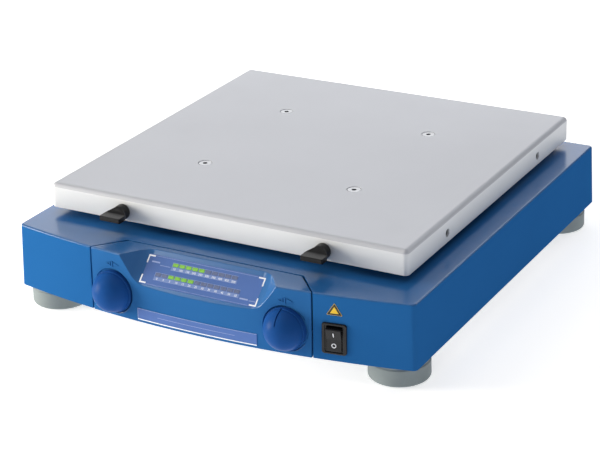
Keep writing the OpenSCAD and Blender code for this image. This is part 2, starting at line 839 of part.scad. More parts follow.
module tray_screws() {
    color(steel) at_tray() at_screws() difference() {
        union() {
            translate([0, 0, tray_top - 3.3]) cylinder(r1 = 2.95, r2 = 5.8, h = 2.9);
            translate([0, 0, arm_z - 4]) cylinder(r = 2.95, h = tray_top - 3 - arm_z + 4);
        }
        translate([0, 0, tray_top - 2.6]) cylinder(r = 2.1, h = 4, $fn = 6);
    }
}

// Threaded inserts in the tray's rim, where attachments fasten
module side_inserts() {
    color(steel) at_tray() at_side_places([90, 180, 270]) translate([0, -side_hole_z, 0]) difference() {
        union() {
            translate([0, 0, 0.8]) cylinder(r = side_hole_r - 0.05, h = 8);
            translate([0, 0, sheet]) cylinder(r = 5, h = 1.2);
        }
        cylinder(r = thread_r, h = 10);
    }
}

module carrier_frame() {
    color([0.66, 0.67, 0.68]) at_tray() difference() {
        union() {
            for (c = corners) {
                rib([0, 0], [c[0], c[1]] * idler_pitch, 26, arm_z, carrier_top - arm_z);
                rib([0, 0], [c[0], c[1]] * idler_pitch, 6, arm_z - 5, 6);
            }
            at_hubs() translate([0, 0, hub_z]) cylinder(r = 14, h = carrier_top - hub_z);
            at_screws() translate([0, 0, arm_z - 6]) cylinder(r = 8, h = carrier_top - arm_z + 6);
            translate([0, 0, hub_z]) cylinder(r = 21, h = carrier_top - hub_z);
        }
        translate([0, 0, hub_z - 1]) cylinder(r = pin_ring_r, h = pin_ring_w + 1);
        translate([0, 0, hub_z]) cylinder(r = 12, h = pin_ring_w + 2);
        at_hubs() translate([0, 0, hub_z - 1]) cylinder(r = bush_r, h = 14);
        at_screws() {
            translate([0, 0, arm_z - 7]) cylinder(r = 3, h = 30);
            translate([0, 0, carrier_top - 1.4]) cylinder(r1 = 3, r2 = 4.5, h = 1.4 + eps);
        }
    }
}

module carrier_bearing_ring() {
    color(steel) at_tray() translate([0, 0, hub_z]) bearing_ring(pin_ring_r, 13.2, pin_ring_w, 11.8, 2.4);
}

module carrier_bearing_balls() {
    color(silver) at_tray() translate([0, 0, hub_z]) bearing_balls(9, 11.8, 2.4, pin_ring_w);
}

module carrier_bushes() {
    color([0.72, 0.55, 0.28]) at_tray() at_hubs() tube(bush_r, idler_r + run, 12, hub_z);
}

// Cup under each hub that keeps spills out of the shaft opening below it
module splash_cap(hole, skirt) {
    tube(skirt + cap_t, hole, cap_t, hub_z - cap_t);
    tube(skirt + cap_t, skirt, 5.5, hub_z - 5.5);
}

module splash_caps() {
    color(black) at_tray() {
        splash_cap(pin_r + 1, main_lip_r + lip_t + orbit_r + 1.2);
        at_hubs() splash_cap(idler_r + 1, lip_r + orbit_r + 1.2);
    }
}

// ---------- wing knobs on the tray's front ----------

module at_lever(side) {
    at_tray() translate([side * lever_x, -tray_w / 2, lever_z]) rotate([90, 0, 0]) children();
}

module wing_knob(side) {
    color(black) at_lever(side) {
        translate([0, 0, 0.3]) cylinder(r = 6.4, h = 4.6);
        hull() {
            translate([0, 0, 4.4]) cylinder(r = 6.2, h = 0.6, $fn = 48);
            for (s = corners) translate([s[0] * 8.2, s[1] * 0.5, 10.4]) cylinder(r = 1.5, h = 1, $fn = 24);
        }
        hull() for (s = corners) translate([s[0] * 8.3, s[1] * 0.5, 10.4])
            cylinder(r = 1.6, h = 8.6, $fn = 24);
        translate([0, 0, -6]) cylinder(r = 2.9, h = 7);
    }
}

module lock_cam(side) {
    color(steel) at_lever(side) difference() {
        hull() for (s = [-1, 1]) translate([s * 5, 0, -5.6]) cylinder(r = 3.6, h = 2, $fn = 32);
        translate([0, 0, -7]) cylinder(r = 2.9, h = 6);
    }
}

// ---------- control knobs ----------

// Dome knob in its own frame: z out of the panel, its pointer towards +Y
module dome_knob() {
    ball_r = (pow(dome_foot_r, 2) + pow(dome_h, 2)) / (2 * dome_h);
    ball_z = knob_rim + dome_h - ball_r;
    difference() {
        union() {
            cylinder(r = knob_r, h = knob_rim);
            intersection() {
                translate([0, 0, ball_z]) sphere(r = ball_r, $fn = 96);
                translate([0, 0, knob_rim - 0.5]) cylinder(r = knob_r + 1, h = dome_h + 2);
            }
        }
        difference() {
            translate([-0.6, 8, knob_rim]) cube([1.2, knob_r, dome_h]);
            translate([0, 0, ball_z]) sphere(r = ball_r - 0.9, $fn = 96);
        }
        translate([0, 0, -1]) cylinder(r = 3, h = 8);
    }
}

module knob_at(x, angle) {
    translate([x, knob_face_y - knob_clear, knob_z]) rotate([90, 0, 0]) rotate([0, 0, -angle]) dome_knob();
}

module spindle(x) {
    color(steel) translate([x, knob_face_y - 7.2, knob_z]) rotate([-90, 0, 0]) cylinder(r = 3, h = 15);
}

// ---------- nodes ----------

housing_shell();
control_panel();
bottom_plate();
chassis_frame();
foot(-foot_x, foot_y[0]);  // foot_front_left
foot(foot_x, foot_y[0]);  // foot_front_right
foot(-foot_x, foot_y[1]);  // foot_rear_left
foot(foot_x, foot_y[1]);  // foot_rear_right
foot_screws();
housing_screws();
chassis_screws();
display_window();
lamps_lit();
lamps_unlit();
label_strip();
marker_sticker();
control_board();
power_board();
transformer();
ribbon_cable();
mains_lead();
potentiometer(knob_x);  // speed_potentiometer
potentiometer(-knob_x);  // timer_potentiometer
switch_frame();
inlet_body();
inlet_pins();
motor_body();
motor_bracket();
drive_belt();
main_bearing_outer_rings();
main_bearing_balls();
base_bushes();
crank_shaft();
drive_pulley();
counterweight();
crank_bearing_inner_rings();
motor_shaft();
motor_pulley();
idler_crank([-1, -1]);  // idler_crank_front_left
idler_crank([1, -1]);  // idler_crank_front_right
idler_crank([-1, 1]);  // idler_crank_rear_left
idler_crank([1, 1]);  // idler_crank_rear_right
tray();
carrier_frame();
tray_screws();
side_inserts();
carrier_bearing_ring();
carrier_bearing_balls();
carrier_bushes();
splash_caps();
wing_knob(-1);  // wing_knob_left
wing_knob(1);  // wing_knob_right
lock_cam(-1);  // lock_cam_left
lock_cam(1);  // lock_cam_right
color(knob_blue) knob_at(knob_x, speed_angle);  // speed_knob
color(knob_blue) knob_at(-knob_x, timer_angle);  // timer_knob
spindle(knob_x);  // speed_spindle
spindle(-knob_x);  // timer_spindle
power_rocker();
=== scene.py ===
"""Orbital shaker: a square tray on eccentrics above a low blue housing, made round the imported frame."""
import json
import math

import bmesh
import bpy
from mathutils import Matrix, Vector


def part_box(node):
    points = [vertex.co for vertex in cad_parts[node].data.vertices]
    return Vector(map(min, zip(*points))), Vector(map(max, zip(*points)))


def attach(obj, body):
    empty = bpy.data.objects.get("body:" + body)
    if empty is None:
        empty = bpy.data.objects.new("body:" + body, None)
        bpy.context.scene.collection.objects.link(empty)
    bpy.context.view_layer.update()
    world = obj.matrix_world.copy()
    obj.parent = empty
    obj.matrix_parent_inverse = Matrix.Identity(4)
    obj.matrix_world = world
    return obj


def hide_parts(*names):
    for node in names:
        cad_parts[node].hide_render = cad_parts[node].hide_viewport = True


bl_info = {
    "name": "Orbital Shaker",
    "version": (1, 0, 0),
    "blender": (4, 5, 0),
    "location": "3D Viewport > Sidebar > Shaker",
    "description": "Builds the visible pieces, finishes and studio of a compact orbital shaker",
    "category": "Object",
}

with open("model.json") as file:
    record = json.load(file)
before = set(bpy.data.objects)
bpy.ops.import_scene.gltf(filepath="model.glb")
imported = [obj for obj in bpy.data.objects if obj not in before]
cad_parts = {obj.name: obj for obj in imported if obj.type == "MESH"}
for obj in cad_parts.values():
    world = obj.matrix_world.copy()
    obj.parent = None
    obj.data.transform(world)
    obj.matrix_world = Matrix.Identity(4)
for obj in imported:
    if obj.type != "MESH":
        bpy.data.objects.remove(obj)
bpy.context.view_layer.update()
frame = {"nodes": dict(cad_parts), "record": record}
NODES = frame["nodes"]
MM = 1000.0  # millimetres in a metre: pieces are shaped in millimetres and scaled once at the end


def box_mm(node):
    """Lowest and highest corner of a CAD node, in millimetres."""
    low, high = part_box(node)
    return Vector(low) * MM, Vector(high) * MM


HOUSING_LOW, HOUSING_HIGH = box_mm("housing_shell")
TRAY_LOW, TRAY_HIGH = box_mm("tray")
HALF_WIDTH = HOUSING_HIGH.x
BACK_Y = HOUSING_HIGH.y
BOTTOM_Z = HOUSING_LOW.z
LIP_TOP = HOUSING_HIGH.z
TOP_Z = box_mm("control_panel")[1].z
FRONT_Y = -191.6
AXIS_Y = 28.4
TRAY_X = (TRAY_LOW.x + TRAY_HIGH.x) / 2
TO_FRONT = Matrix.Rotation(math.pi / 2, 4, "X")
TO_SIDE = Matrix.Rotation(math.pi / 2, 4, "Y")


# ---------- sizes and colours that a user would change ----------

def length(name, description, default):
    return bpy.props.FloatProperty(name=name, description=description, default=default, unit="LENGTH",
                                   min=0.0, precision=4)


def paint(name, description, default):
    return bpy.props.FloatVectorProperty(name=name, description=description, default=default, size=3,
                                         subtype="COLOR", min=0.0, max=1.0)


class ShakerSizes(bpy.types.PropertyGroup):
    wall: length("Wall", "Thickness of the housing's wall", 0.0024)
    lean: length("Lean", "How far each wall leans inwards over its height", 0.0017)
    bulge: length("Bulge", "How far the front stands ahead of its corners", 0.0203)
    soft_edge: length("Soft edge", "Radius of the housing's top edge", 0.0016)
    joint_gap: length("Joint gap", "Width of the gap round the control panel", 0.0013)
    recess_round: length("Recess round", "Radius between the display's floor and its side walls", 0.0065)
    tray_round: length("Tray round", "Radius of the tray's folded edges", 0.0042)
    tray_sheet: length("Tray sheet", "Thickness of the tray's metal", 0.002)
    knob_rim: length("Knob rim", "Height of the rim round each knob", 0.0047)
    well_gap: length("Well gap", "Gap between each knob's rim and the wall of its well", 0.0012)


class ShakerColours(bpy.types.PropertyGroup):
    housing: paint("Housing", "Powder coat of the housing", (0.021, 0.134, 0.385))
    panel: paint("Panel", "Moulded control panel", (0.030, 0.148, 0.405))
    knob: paint("Knobs", "Moulded knobs", (0.014, 0.083, 0.31))
    film: paint("Film", "Printed film of the display and the label", (0.10, 0.19, 0.50))
    # The tray's top and its folded sides are one sheet of the same metal. The sides get a lighter colour
    # than the top, a painted reflection of the bright surroundings.
    tray: paint("Tray", "Satin metal of the tray's top", (0.60, 0.62, 0.68))
    skirt: paint("Skirt", "Satin metal of the tray's folded sides", (0.82, 0.845, 0.88))
    foot: paint("Feet", "Rubber of the feet", (0.24, 0.285, 0.30))
    lit: paint("Lit lamps", "Lamps that are on", (0.20, 0.50, 0.04))
    unlit: paint("Unlit lamps", "Lamps that are off", (0.13, 0.17, 0.32))


# ---------- finishes ----------

def surface(name, colour, roughness, spread=0.08, tone=0.06, patch=18.0, grain=900.0, bump=0.10,
            depth=0.00015, metallic=0.0, specular=0.5, emission=0.0, stretch=(1, 1, 1), scuff=0.0):
    """One procedural finish: drifting tone, varied roughness, a fine surface grain and faint scuffs."""
    mat = bpy.data.materials.new(name)
    mat.use_nodes = True
    nodes, links = mat.node_tree.nodes, mat.node_tree.links
    shader = nodes["Principled BSDF"]
    shader.inputs["Metallic"].default_value = metallic
    shader.inputs["Specular IOR Level"].default_value = specular
    place = nodes.new("ShaderNodeTexCoord")
    mapping = nodes.new("ShaderNodeMapping")
    mapping.inputs["Scale"].default_value = stretch
    links.new(place.outputs["Object"], mapping.inputs["Vector"])

    def noise(scale, detail, rough=0.55):
        tex = nodes.new("ShaderNodeTexNoise")
        tex.inputs["Scale"].default_value = scale
        tex.inputs["Detail"].default_value = detail
        tex.inputs["Roughness"].default_value = rough
        links.new(mapping.outputs["Vector"], tex.inputs["Vector"])
        return tex

    def spread_to(source, low, high, lo=0.3, hi=0.7):
        node = nodes.new("ShaderNodeMapRange")
        node.inputs["From Min"].default_value = lo
        node.inputs["From Max"].default_value = hi
        node.inputs["To Min"].default_value = low
        node.inputs["To Max"].default_value = high
        links.new(source, node.inputs["Value"])
        return node.outputs["Result"]

    drift = noise(patch, 4)
    fine = noise(grain, 3)
    blend = nodes.new("ShaderNodeMix")
    blend.data_type = "RGBA"
    blend.inputs["A"].default_value = (*[c * (1 - tone) for c in colour], 1)
    blend.inputs["B"].default_value = (*[min(1, c * (1 + tone) + tone * 0.01) for c in colour], 1)
    links.new(spread_to(drift.outputs["Fac"], 0, 1), blend.inputs["Factor"])
    links.new(blend.outputs["Result"], shader.inputs["Base Color"])
    rough = spread_to(fine.outputs["Fac"], roughness - spread / 2, roughness + spread / 2)
    if scuff:
        marks = noise(patch * 9, 6, 0.7)
        add = nodes.new("ShaderNodeMath")
        add.operation = "ADD"
        links.new(rough, add.inputs[0])
        links.new(spread_to(marks.outputs["Fac"], 0, scuff, 0.55, 0.75), add.inputs[1])
        rough = add.outputs["Value"]
    links.new(rough, shader.inputs["Roughness"])
    relief = nodes.new("ShaderNodeBump")
    relief.inputs["Strength"].default_value = bump
    relief.inputs["Distance"].default_value = depth
    links.new(fine.outputs["Fac"], relief.inputs["Height"])
    links.new(relief.outputs["Normal"], shader.inputs["Normal"])
    if emission:
        shader.inputs["Emission Color"].default_value = (*colour, 1)
        shader.inputs["Emission Strength"].default_value = emission
    return mat


def finishes(colours):
    """Every finish by the name of its material slot in the record, and a few for printed details."""
    return {
        "housing_paint": surface("housing powder coat", colours.housing, 0.27, 0.06, 0.04, 6, 900, 0.05,
                                 0.00008, specular=0.0, scuff=0.05),
        "panel_paint": surface("panel moulding", colours.panel, 0.27, 0.06, 0.04, 8, 1100, 0.05, 0.00008,
                               specular=0.0, scuff=0.04),
        "housing_top": surface("housing powder coat, upper faces", colours.housing, 0.20, 0.03, 0.04, 6,
                               900, 0.02, 0.00004, specular=0.65, scuff=0.02),
        "panel_top": surface("panel moulding, upper faces", colours.panel, 0.20, 0.03, 0.04, 8, 1100,
                             0.02, 0.00004, specular=0.65, scuff=0.02),
        "knob_plastic": surface("knob moulding", colours.knob, 0.32, 0.05, 0.05, 30, 1500, 0.05, 0.00006,
                                specular=0.035),
        # Painted reflection: the tray's folded sides are given a lighter colour than its top (tray_top
        # below), though both are the same metal.
        "tray_metal": surface("satin tray metal, sides with painted reflection", colours.skirt, 0.42, 0.08, 0.02, 5, 1600, 0.08,
                              0.00006, metallic=0.15, specular=0.4, scuff=0.06),
        "tray_top": surface("satin tray metal, top", colours.tray, 0.38, 0.08, 0.05, 3, 1600, 0.08, 0.00006,
                            metallic=0.1, specular=0.2, scuff=0.06),
        "foot_rubber": surface("foot rubber", colours.foot, 0.62, 0.12, 0.08, 40, 1300, 0.25, 0.0002,
                               scuff=0.1),
        "plate_steel": surface("zinc plate", (0.55, 0.56, 0.58), 0.35, 0.2, 0.12, 30, 600, 0.12,
                               metallic=1.0),
        "cast_alloy": surface("cast alloy", (0.56, 0.57, 0.58), 0.52, 0.15, 0.08, 25, 500, 0.4, 0.0004,
                              metallic=0.9),
        "screw_steel": surface("screw steel", (0.42, 0.43, 0.45), 0.36, 0.15, 0.08, 80, 1500, 0.12,
                               metallic=1.0),
        "shaft_steel": surface("ground steel", (0.58, 0.59, 0.61), 0.22, 0.12, 0.05, 60, 900, 0.08,
                               metallic=1.0, stretch=(1, 1, 12)),
        "bearing_steel": surface("bearing steel", (0.70, 0.71, 0.73), 0.12, 0.06, 0.04, 60, 1200, 0.04,
                                 metallic=1.0),
        "bush_bronze": surface("sintered bronze", (0.55, 0.36, 0.16), 0.38, 0.16, 0.12, 90, 1800, 0.2,
                               metallic=1.0),
        "weight_iron": surface("machined iron", (0.20, 0.205, 0.215), 0.45, 0.2, 0.1, 50, 800, 0.25,
                               metallic=0.9),
        "motor_iron": surface("motor lacquer", (0.035, 0.04, 0.045), 0.5, 0.1, 0.15, 40, 900, 0.25),
        "transformer_iron": surface("laminated iron", (0.16, 0.165, 0.18), 0.5, 0.2, 0.2, 40, 260, 0.4,
                                    0.0004, metallic=0.6, stretch=(1, 1, 8)),
        "belt_rubber": surface("belt rubber", (0.02, 0.02, 0.02), 0.7, 0.1, 0.2, 60, 900, 0.3),
        "display_film": surface("printed film", colours.film, 0.30, 0.05, 0.05, 30, 1400, 0.05, 0.00006,
                                specular=0.12),
        "lamp_lit": surface("lit lamp", colours.lit, 0.3, 0.05, 0.25, 700, 1500, 0.05, emission=0.12),
        "lamp_unlit": surface("unlit lamp", colours.unlit, 0.35, 0.05, 0.2, 700, 1500, 0.05),
        "sticker_yellow": surface("yellow print", (0.90, 0.58, 0.02), 0.35, 0.05, 0.04, 200, 1500, 0.05),
        "board_green": surface("solder resist", (0.01, 0.10, 0.04), 0.35, 0.1, 0.3, 120, 500, 0.1),
        "cable_grey": surface("cable sheath", (0.14, 0.145, 0.155), 0.55, 0.1, 0.1, 60, 900, 0.15),
        "component_grey": surface("pot casing", (0.10, 0.11, 0.12), 0.4, 0.15, 0.1, 60, 900, 0.1,
                                  metallic=0.5),
        "black_plastic": surface("black moulding", (0.008, 0.008, 0.010), 0.24, 0.08, 0.2, 60, 1400, 0.12,
                                 0.0001, specular=0.4),
        "wing_plastic": surface("wing knob moulding", (0.006, 0.006, 0.007), 0.34, 0.12, 0.2, 60, 1200,
                                0.25, 0.0002, specular=0.3),
        "pin_brass": surface("plated brass", (0.66, 0.60, 0.42), 0.2, 0.1, 0.06, 90, 1200, 0.05,
                             metallic=1.0),
        # White print with a small emission: a painted glow on the figures, corner marks, label line and
        # rocker marks, which are no lamps.
        "white_print_painted_glow": surface("white print, painted glow", (0.90, 0.92, 0.97), 0.4, 0.05, 0.04, 300, 1500, 0.03,
                               emission=0.15),
        "pale_print": surface("pale print", (0.36, 0.46, 0.78), 0.4, 0.05, 0.05, 300, 1500, 0.03),
        "band_print": surface("band print", (0.19, 0.29, 0.62), 0.4, 0.05, 0.05, 300, 1500, 0.03),
        "black_print": surface("black print", (0.01, 0.01, 0.01), 0.4, 0.08, 0.2, 300, 1500, 0.05),
        "studio_floor": surface("studio floor", (0.93, 0.93, 0.93), 0.85, 0.05, 0.006, 1.5, 60, 0.02,
                                specular=0.1, emission=0.60),
    }


def finish(name):
    """The finish made for that slot, made once for the whole scene."""
    if not finish.made:
        finish.made.update(finishes(bpy.context.scene.shaker_colours))
    return finish.made[name]


finish.made = {}


# ---------- mesh helpers ----------

def edges_where(bm, test):
    """Edges whose two ends both pass the test, which is given each end's place."""
    return [e for e in bm.edges if all(test(v.co) for v in e.verts)]


def span(edge, axis):
    """How far an edge reaches along one axis: 0 for X, 1 for Y, 2 for Z."""
    return abs(edge.verts[0].co[axis] - edge.verts[1].co[axis])


def extrude(bm, face):
    """Extrudes a face without moving it. Returns the far face and its vertices."""
    far = bmesh.ops.extrude_face_region(bm, geom=[face])["geom"]
    faces = [g for g in far if isinstance(g, bmesh.types.BMFace)]
    return faces[0], [g for g in far if isinstance(g, bmesh.types.BMVert)]


def prism(points, rise):
    """A flat outline of points pushed along rise. Returns the mesh and the far face's vertices."""
    bm = bmesh.new()
    _, verts = extrude(bm, bm.faces.new([bm.verts.new(p) for p in points]))
    bmesh.ops.translate(bm, vec=rise, verts=verts)
    bmesh.ops.recalc_face_normals(bm, faces=bm.faces)
    return bm, verts


def block(low, high, bevel=0.0, segments=3, only=None):
    """A box between two corners, with its edges rounded; only picks the edges to round."""
    low, high = Vector(low), Vector(high)
    bm = bmesh.new()
    bmesh.ops.create_cube(bm, size=1.0)
    bmesh.ops.scale(bm, vec=high - low, verts=bm.verts)
    bmesh.ops.translate(bm, vec=(low + high) / 2, verts=bm.verts)
    if bevel:
        round_edges(bm, [e for e in bm.edges if only is None or only(e)], bevel, segments)
    return bm


def drum(radius, low, high, centre=(0, 0, 0), steps=64, tip=None):
    """A closed cylinder or cone along Z between two heights."""
    bm = bmesh.new()
    bmesh.ops.create_cone(bm, cap_ends=True, segments=steps, radius1=radius,
                          radius2=radius if tip is None else tip, depth=high - low)
    bmesh.ops.translate(bm, vec=Vector(centre) + Vector((0, 0, (low + high) / 2)), verts=bm.verts)
    return bm


def spun(profile, steps=64):
    """A solid of revolution about Z; its profile of (radius, height) pairs starts and ends on the axis."""
    bm = bmesh.new()
    verts = [bm.verts.new((r, 0, z)) for r, z in profile]
    edges = [bm.edges.new(pair) for pair in zip(verts, verts[1:])]
    bmesh.ops.spin(bm, geom=verts + edges, cent=(0, 0, 0), axis=(0, 0, 1), angle=math.tau, steps=steps,
                   use_merge=True)
    bmesh.ops.remove_doubles(bm, verts=bm.verts, dist=0.0005)
    bmesh.ops.recalc_face_normals(bm, faces=bm.faces)
    return bm


def arc_profile(centre, radius, start, end, steps=8):
    """Points of a profile's round stretch; angles are in degrees from the radial direction."""
    turn = [math.radians(start + (end - start) * i / steps) for i in range(steps + 1)]
    return [(centre[0] + radius * math.cos(a), centre[1] + radius * math.sin(a)) for a in turn]


def round_edges(bm, edges, width, segments=3, clamp=True):
    bmesh.ops.bevel(bm, geom=edges, offset=width, offset_type="OFFSET", segments=segments, profile=0.5,
                    affect="EDGES", clamp_overlap=clamp, material=-1)


def sharp_edges(bm, angle):
    """Edges between two faces that meet at more than that angle, in degrees."""
    limit = math.radians(angle)
    return [e for e in bm.edges if len(e.link_faces) == 2 and e.calc_face_angle(0.0) > limit]


def join(*meshes):
    """Several meshes as one."""
    whole = bmesh.new()
    for bm in meshes:
        data = bpy.data.meshes.new("joined")
        bm.to_mesh(data)
        bm.free()
        whole.from_mesh(data)
        bpy.data.meshes.remove(data)
    return whole


def place(bm, matrix):
    bmesh.ops.transform(bm, matrix=matrix, verts=bm.verts)
    return bm


def combine(bm, other, operation="DIFFERENCE"):
    """bm cut by, or joined with, other. Both are used up."""
    objects = []
    for mesh in (bm, other):
        data = bpy.data.meshes.new("working")
        mesh.to_mesh(data)
        mesh.free()
        ob = bpy.data.objects.new("working", data)
        bpy.context.scene.collection.objects.link(ob)
        objects.append(ob)
    modifier = objects[0].modifiers.new("combine", "BOOLEAN")
    modifier.object = objects[1]
    modifier.operation = operation
    modifier.solver = "EXACT"
    results = []
    for look_inside in (False, True):
        modifier.use_self = look_inside
        bpy.context.view_layer.update()
        out = bmesh.new()
        out.from_mesh(objects[0].evaluated_get(bpy.context.evaluated_depsgraph_get()).to_mesh())
        results.append(out)
    for ob in objects:
        data = ob.data
        bpy.data.objects.remove(ob)
        bpy.data.meshes.remove(data)
    plain, careful = results
    # the plain pass can lose a whole shell, so it is kept only where both passes agree
    if math.isclose(plain.calc_volume(), careful.calc_volume(), rel_tol=1e-4):
        careful.free()
        return plain
    plain.free()
    bmesh.ops.remove_doubles(careful, verts=careful.verts, dist=0.001)
    return careful


def tidy(bm, merge=0.01):
    bmesh.ops.remove_doubles(bm, verts=bm.verts, dist=merge)
    bmesh.ops.dissolve_degenerate(bm, edges=bm.edges, dist=merge)
    return bm


def piece(name, bm, material, body, replaced=(), sharp=32.0, upper=None):
    """Makes a mesh in millimetres a finished piece that rides on a body; upper finishes its upward faces,
    and on the tray its darker colour leaves the sides painted lighter, a painted reflection.
    """
    bmesh.ops.scale(bm, vec=(1 / MM,) * 3, verts=bm.verts)
    limit = math.radians(sharp)
    bm.normal_update()
    for face in bm.faces:
        face.smooth = True
        # Upward faces take the upper finish; on the tray this split gives the sides a lighter colour than
        # the top, a painted reflection.
        face.material_index = int(upper is not None and face.normal.z > 0.25)
    for edge in bm.edges:
        edge.smooth = len(edge.link_faces) == 2 and edge.calc_face_angle(0.0) < limit
    data = bpy.data.meshes.new(name)
    bm.to_mesh(data)
    bm.free()
    ob = bpy.data.objects.new(name, data)
    bpy.context.scene.collection.objects.link(ob)
    data.materials.append(finish(material))
    if upper:
        data.materials.append(finish(upper))
    ob.modifiers.new("weighted normals", "WEIGHTED_NORMAL").keep_sharp = True
    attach(ob, body)
    if replaced:
        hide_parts(*replaced)
    return ob


# ---------- the housing's plan ----------

def size(name):
    """A chosen size of the scene, in millimetres."""
    return getattr(bpy.context.scene.shaker_sizes, name) * MM


def arc_radius():
    """Radius of the front's curve, seen from above."""
    bulge = size("bulge")
    return (HALF_WIDTH ** 2 + bulge ** 2) / (2 * bulge)


def front_at(x, inset=0.0):
    """The front face's Y at that X, at the bottom edge."""
    radius = arc_radius()
    return FRONT_Y + radius - math.sqrt((radius - inset) ** 2 - x * x)


def lean_at(z):
    """How far a wall has leant inwards at that height."""
    return size("lean") * (z - BOTTOM_Z) / (TOP_Z - BOTTOM_Z)


def front_arc(x_from, x_to, inset=0.0, steps=24):
    """Points along the front from one X to another, swept about the arc's centre."""
    radius = arc_radius()
    centre_y = FRONT_Y + radius
    radius -= inset
    start, end = math.asin(x_from / radius), math.asin(x_to / radius)
    bm = bmesh.new()
    first = bm.verts.new((radius * math.sin(start), centre_y - radius * math.cos(start), 0))
    bmesh.ops.spin(bm, geom=[first], cent=(0, centre_y, 0), axis=(0, 0, 1), angle=end - start, steps=steps,
                   use_duplicate=False)
    points = sorted((v.co.copy() for v in bm.verts), key=lambda p: p.x)
    bm.free()
    return points


def lean_in(verts, inset=0.0, sides=True):
    """Moves the outer vertices at a wall's top inwards."""
    lean = size("lean")
    for v in verts:
        x, y = v.co.x, v.co.y
        if abs(y - (BACK_Y - inset)) < 0.01:
            v.co.y -= lean
        if sides and abs(abs(x) - (HALF_WIDTH - inset)) < 0.01:
            v.co.x -= math.copysign(lean, x)
        if y < front_at(x, inset) + 0.05:
            v.co.y += lean


def on_front(x, z):
    """Frame on the curved, leaning front: X along the face, Y inwards, Z up the face."""
    turn = Matrix.Rotation(math.asin(x / arc_radius()), 4, "Z")
    tilt = Matrix.Rotation(-math.atan(size("lean") / (TOP_Z - BOTTOM_Z)), 4, "X")
    return Matrix.Translation((x, front_at(x) + lean_at(z), z)) @ turn @ tilt


RECESS_TOP_Y = -165.6
RECESS_SLOPE = math.radians(43.8)
RECESS_HALF = 57.0
RECESS_FLARE = 0.7424
SIDE_GROWTH = 1.4
DISPLAY = Matrix.Translation((0, RECESS_TOP_Y, TOP_Z)) @ Matrix.Rotation(RECESS_SLOPE, 4, "X")
PANEL_HALF = 103.0
PANEL_BACK_HALF = 82.0
PANEL_SIDE_Y = -183.1
PANEL_BACK_Y = -158.9
KNOB_X = 80.0
KNOB_Z = 38.5
KNOB_RADIUS = 18.0
KNOB_APEX_Y = -205.0
KNOB_CLEAR = 0.2
SPINDLE_BORE = 3.02
WELL_Y = -185.1
MARK_Z = 62.2
LABEL_HALF = 55.5
MARKER_Z = 60.8
SWITCH_X = 120.7
SWITCH_Z = 36.5
SWITCH_HOLE = Vector((8.7, 8, 11.4))
INLET_X = 110.0
INLET_Z = 44.0
INLET_HOLE = Vector((14.2, 0, 10.6))
INLET_FLANGE = Vector((16.4, 0, 12.6))
SHAFT_REACH = 110.0
SHAFTS = [(sx * SHAFT_REACH, AXIS_Y + sy * SHAFT_REACH) for sy in (-1, 1) for sx in (-1, 1)]
MAIN_LIP = 19.0
SMALL_LIP = 16.0
LIP_WALL = 2.0
CORNER_ROUND = 3.2
SCREW_REACH = 72.0
TRAY_SCREWS = [(TRAY_X + sx * SCREW_REACH, AXIS_Y + sy * SCREW_REACH, 0) for sx in (-1, 1) for sy in (-1, 1)]
RIM_HOLE_X = 94.0
RIM_HOLE_Y = -167.0
RIM_HOLE_Z = 87.0


def wedge(grow=0.0):
    """The air over the display, grown into the panel; its floor's edges are rounded."""
    rise = math.tan(RECESS_SLOPE)
    drop = grow / math.cos(RECESS_SLOPE)
    top = TOP_Z + 8
    out_y = FRONT_Y - 8
    back_y = RECESS_TOP_Y + (top - TOP_Z + drop) / rise
    floor_z = TOP_Z - (RECESS_TOP_Y - out_y) * rise - drop

    def half(y, z):
        flare = RECESS_FLARE / rise * (z - TOP_Z) - RECESS_FLARE * (y - RECESS_TOP_Y)
        return RECESS_HALF + flare + grow * SIDE_GROWTH

    ends = [(back_y, top), (out_y, top), (out_y, floor_z)]
    bm = bmesh.new()
    left, right = [[bm.verts.new((side * half(y, z), y, z)) for y, z in ends] for side in (-1, 1)]
    bm.faces.new(left)
    bm.faces.new(right[::-1])
    for i in range(3):
        j = (i + 1) % 3
        bm.faces.new((left[j], left[i], right[i], right[j]))
    creases = [bm.edges.get((side[0], side[2])) for side in (left, right)]
    round_edges(bm, creases, size("recess_round") + grow, 8)
    bmesh.ops.recalc_face_normals(bm, faces=bm.faces)
    return bm


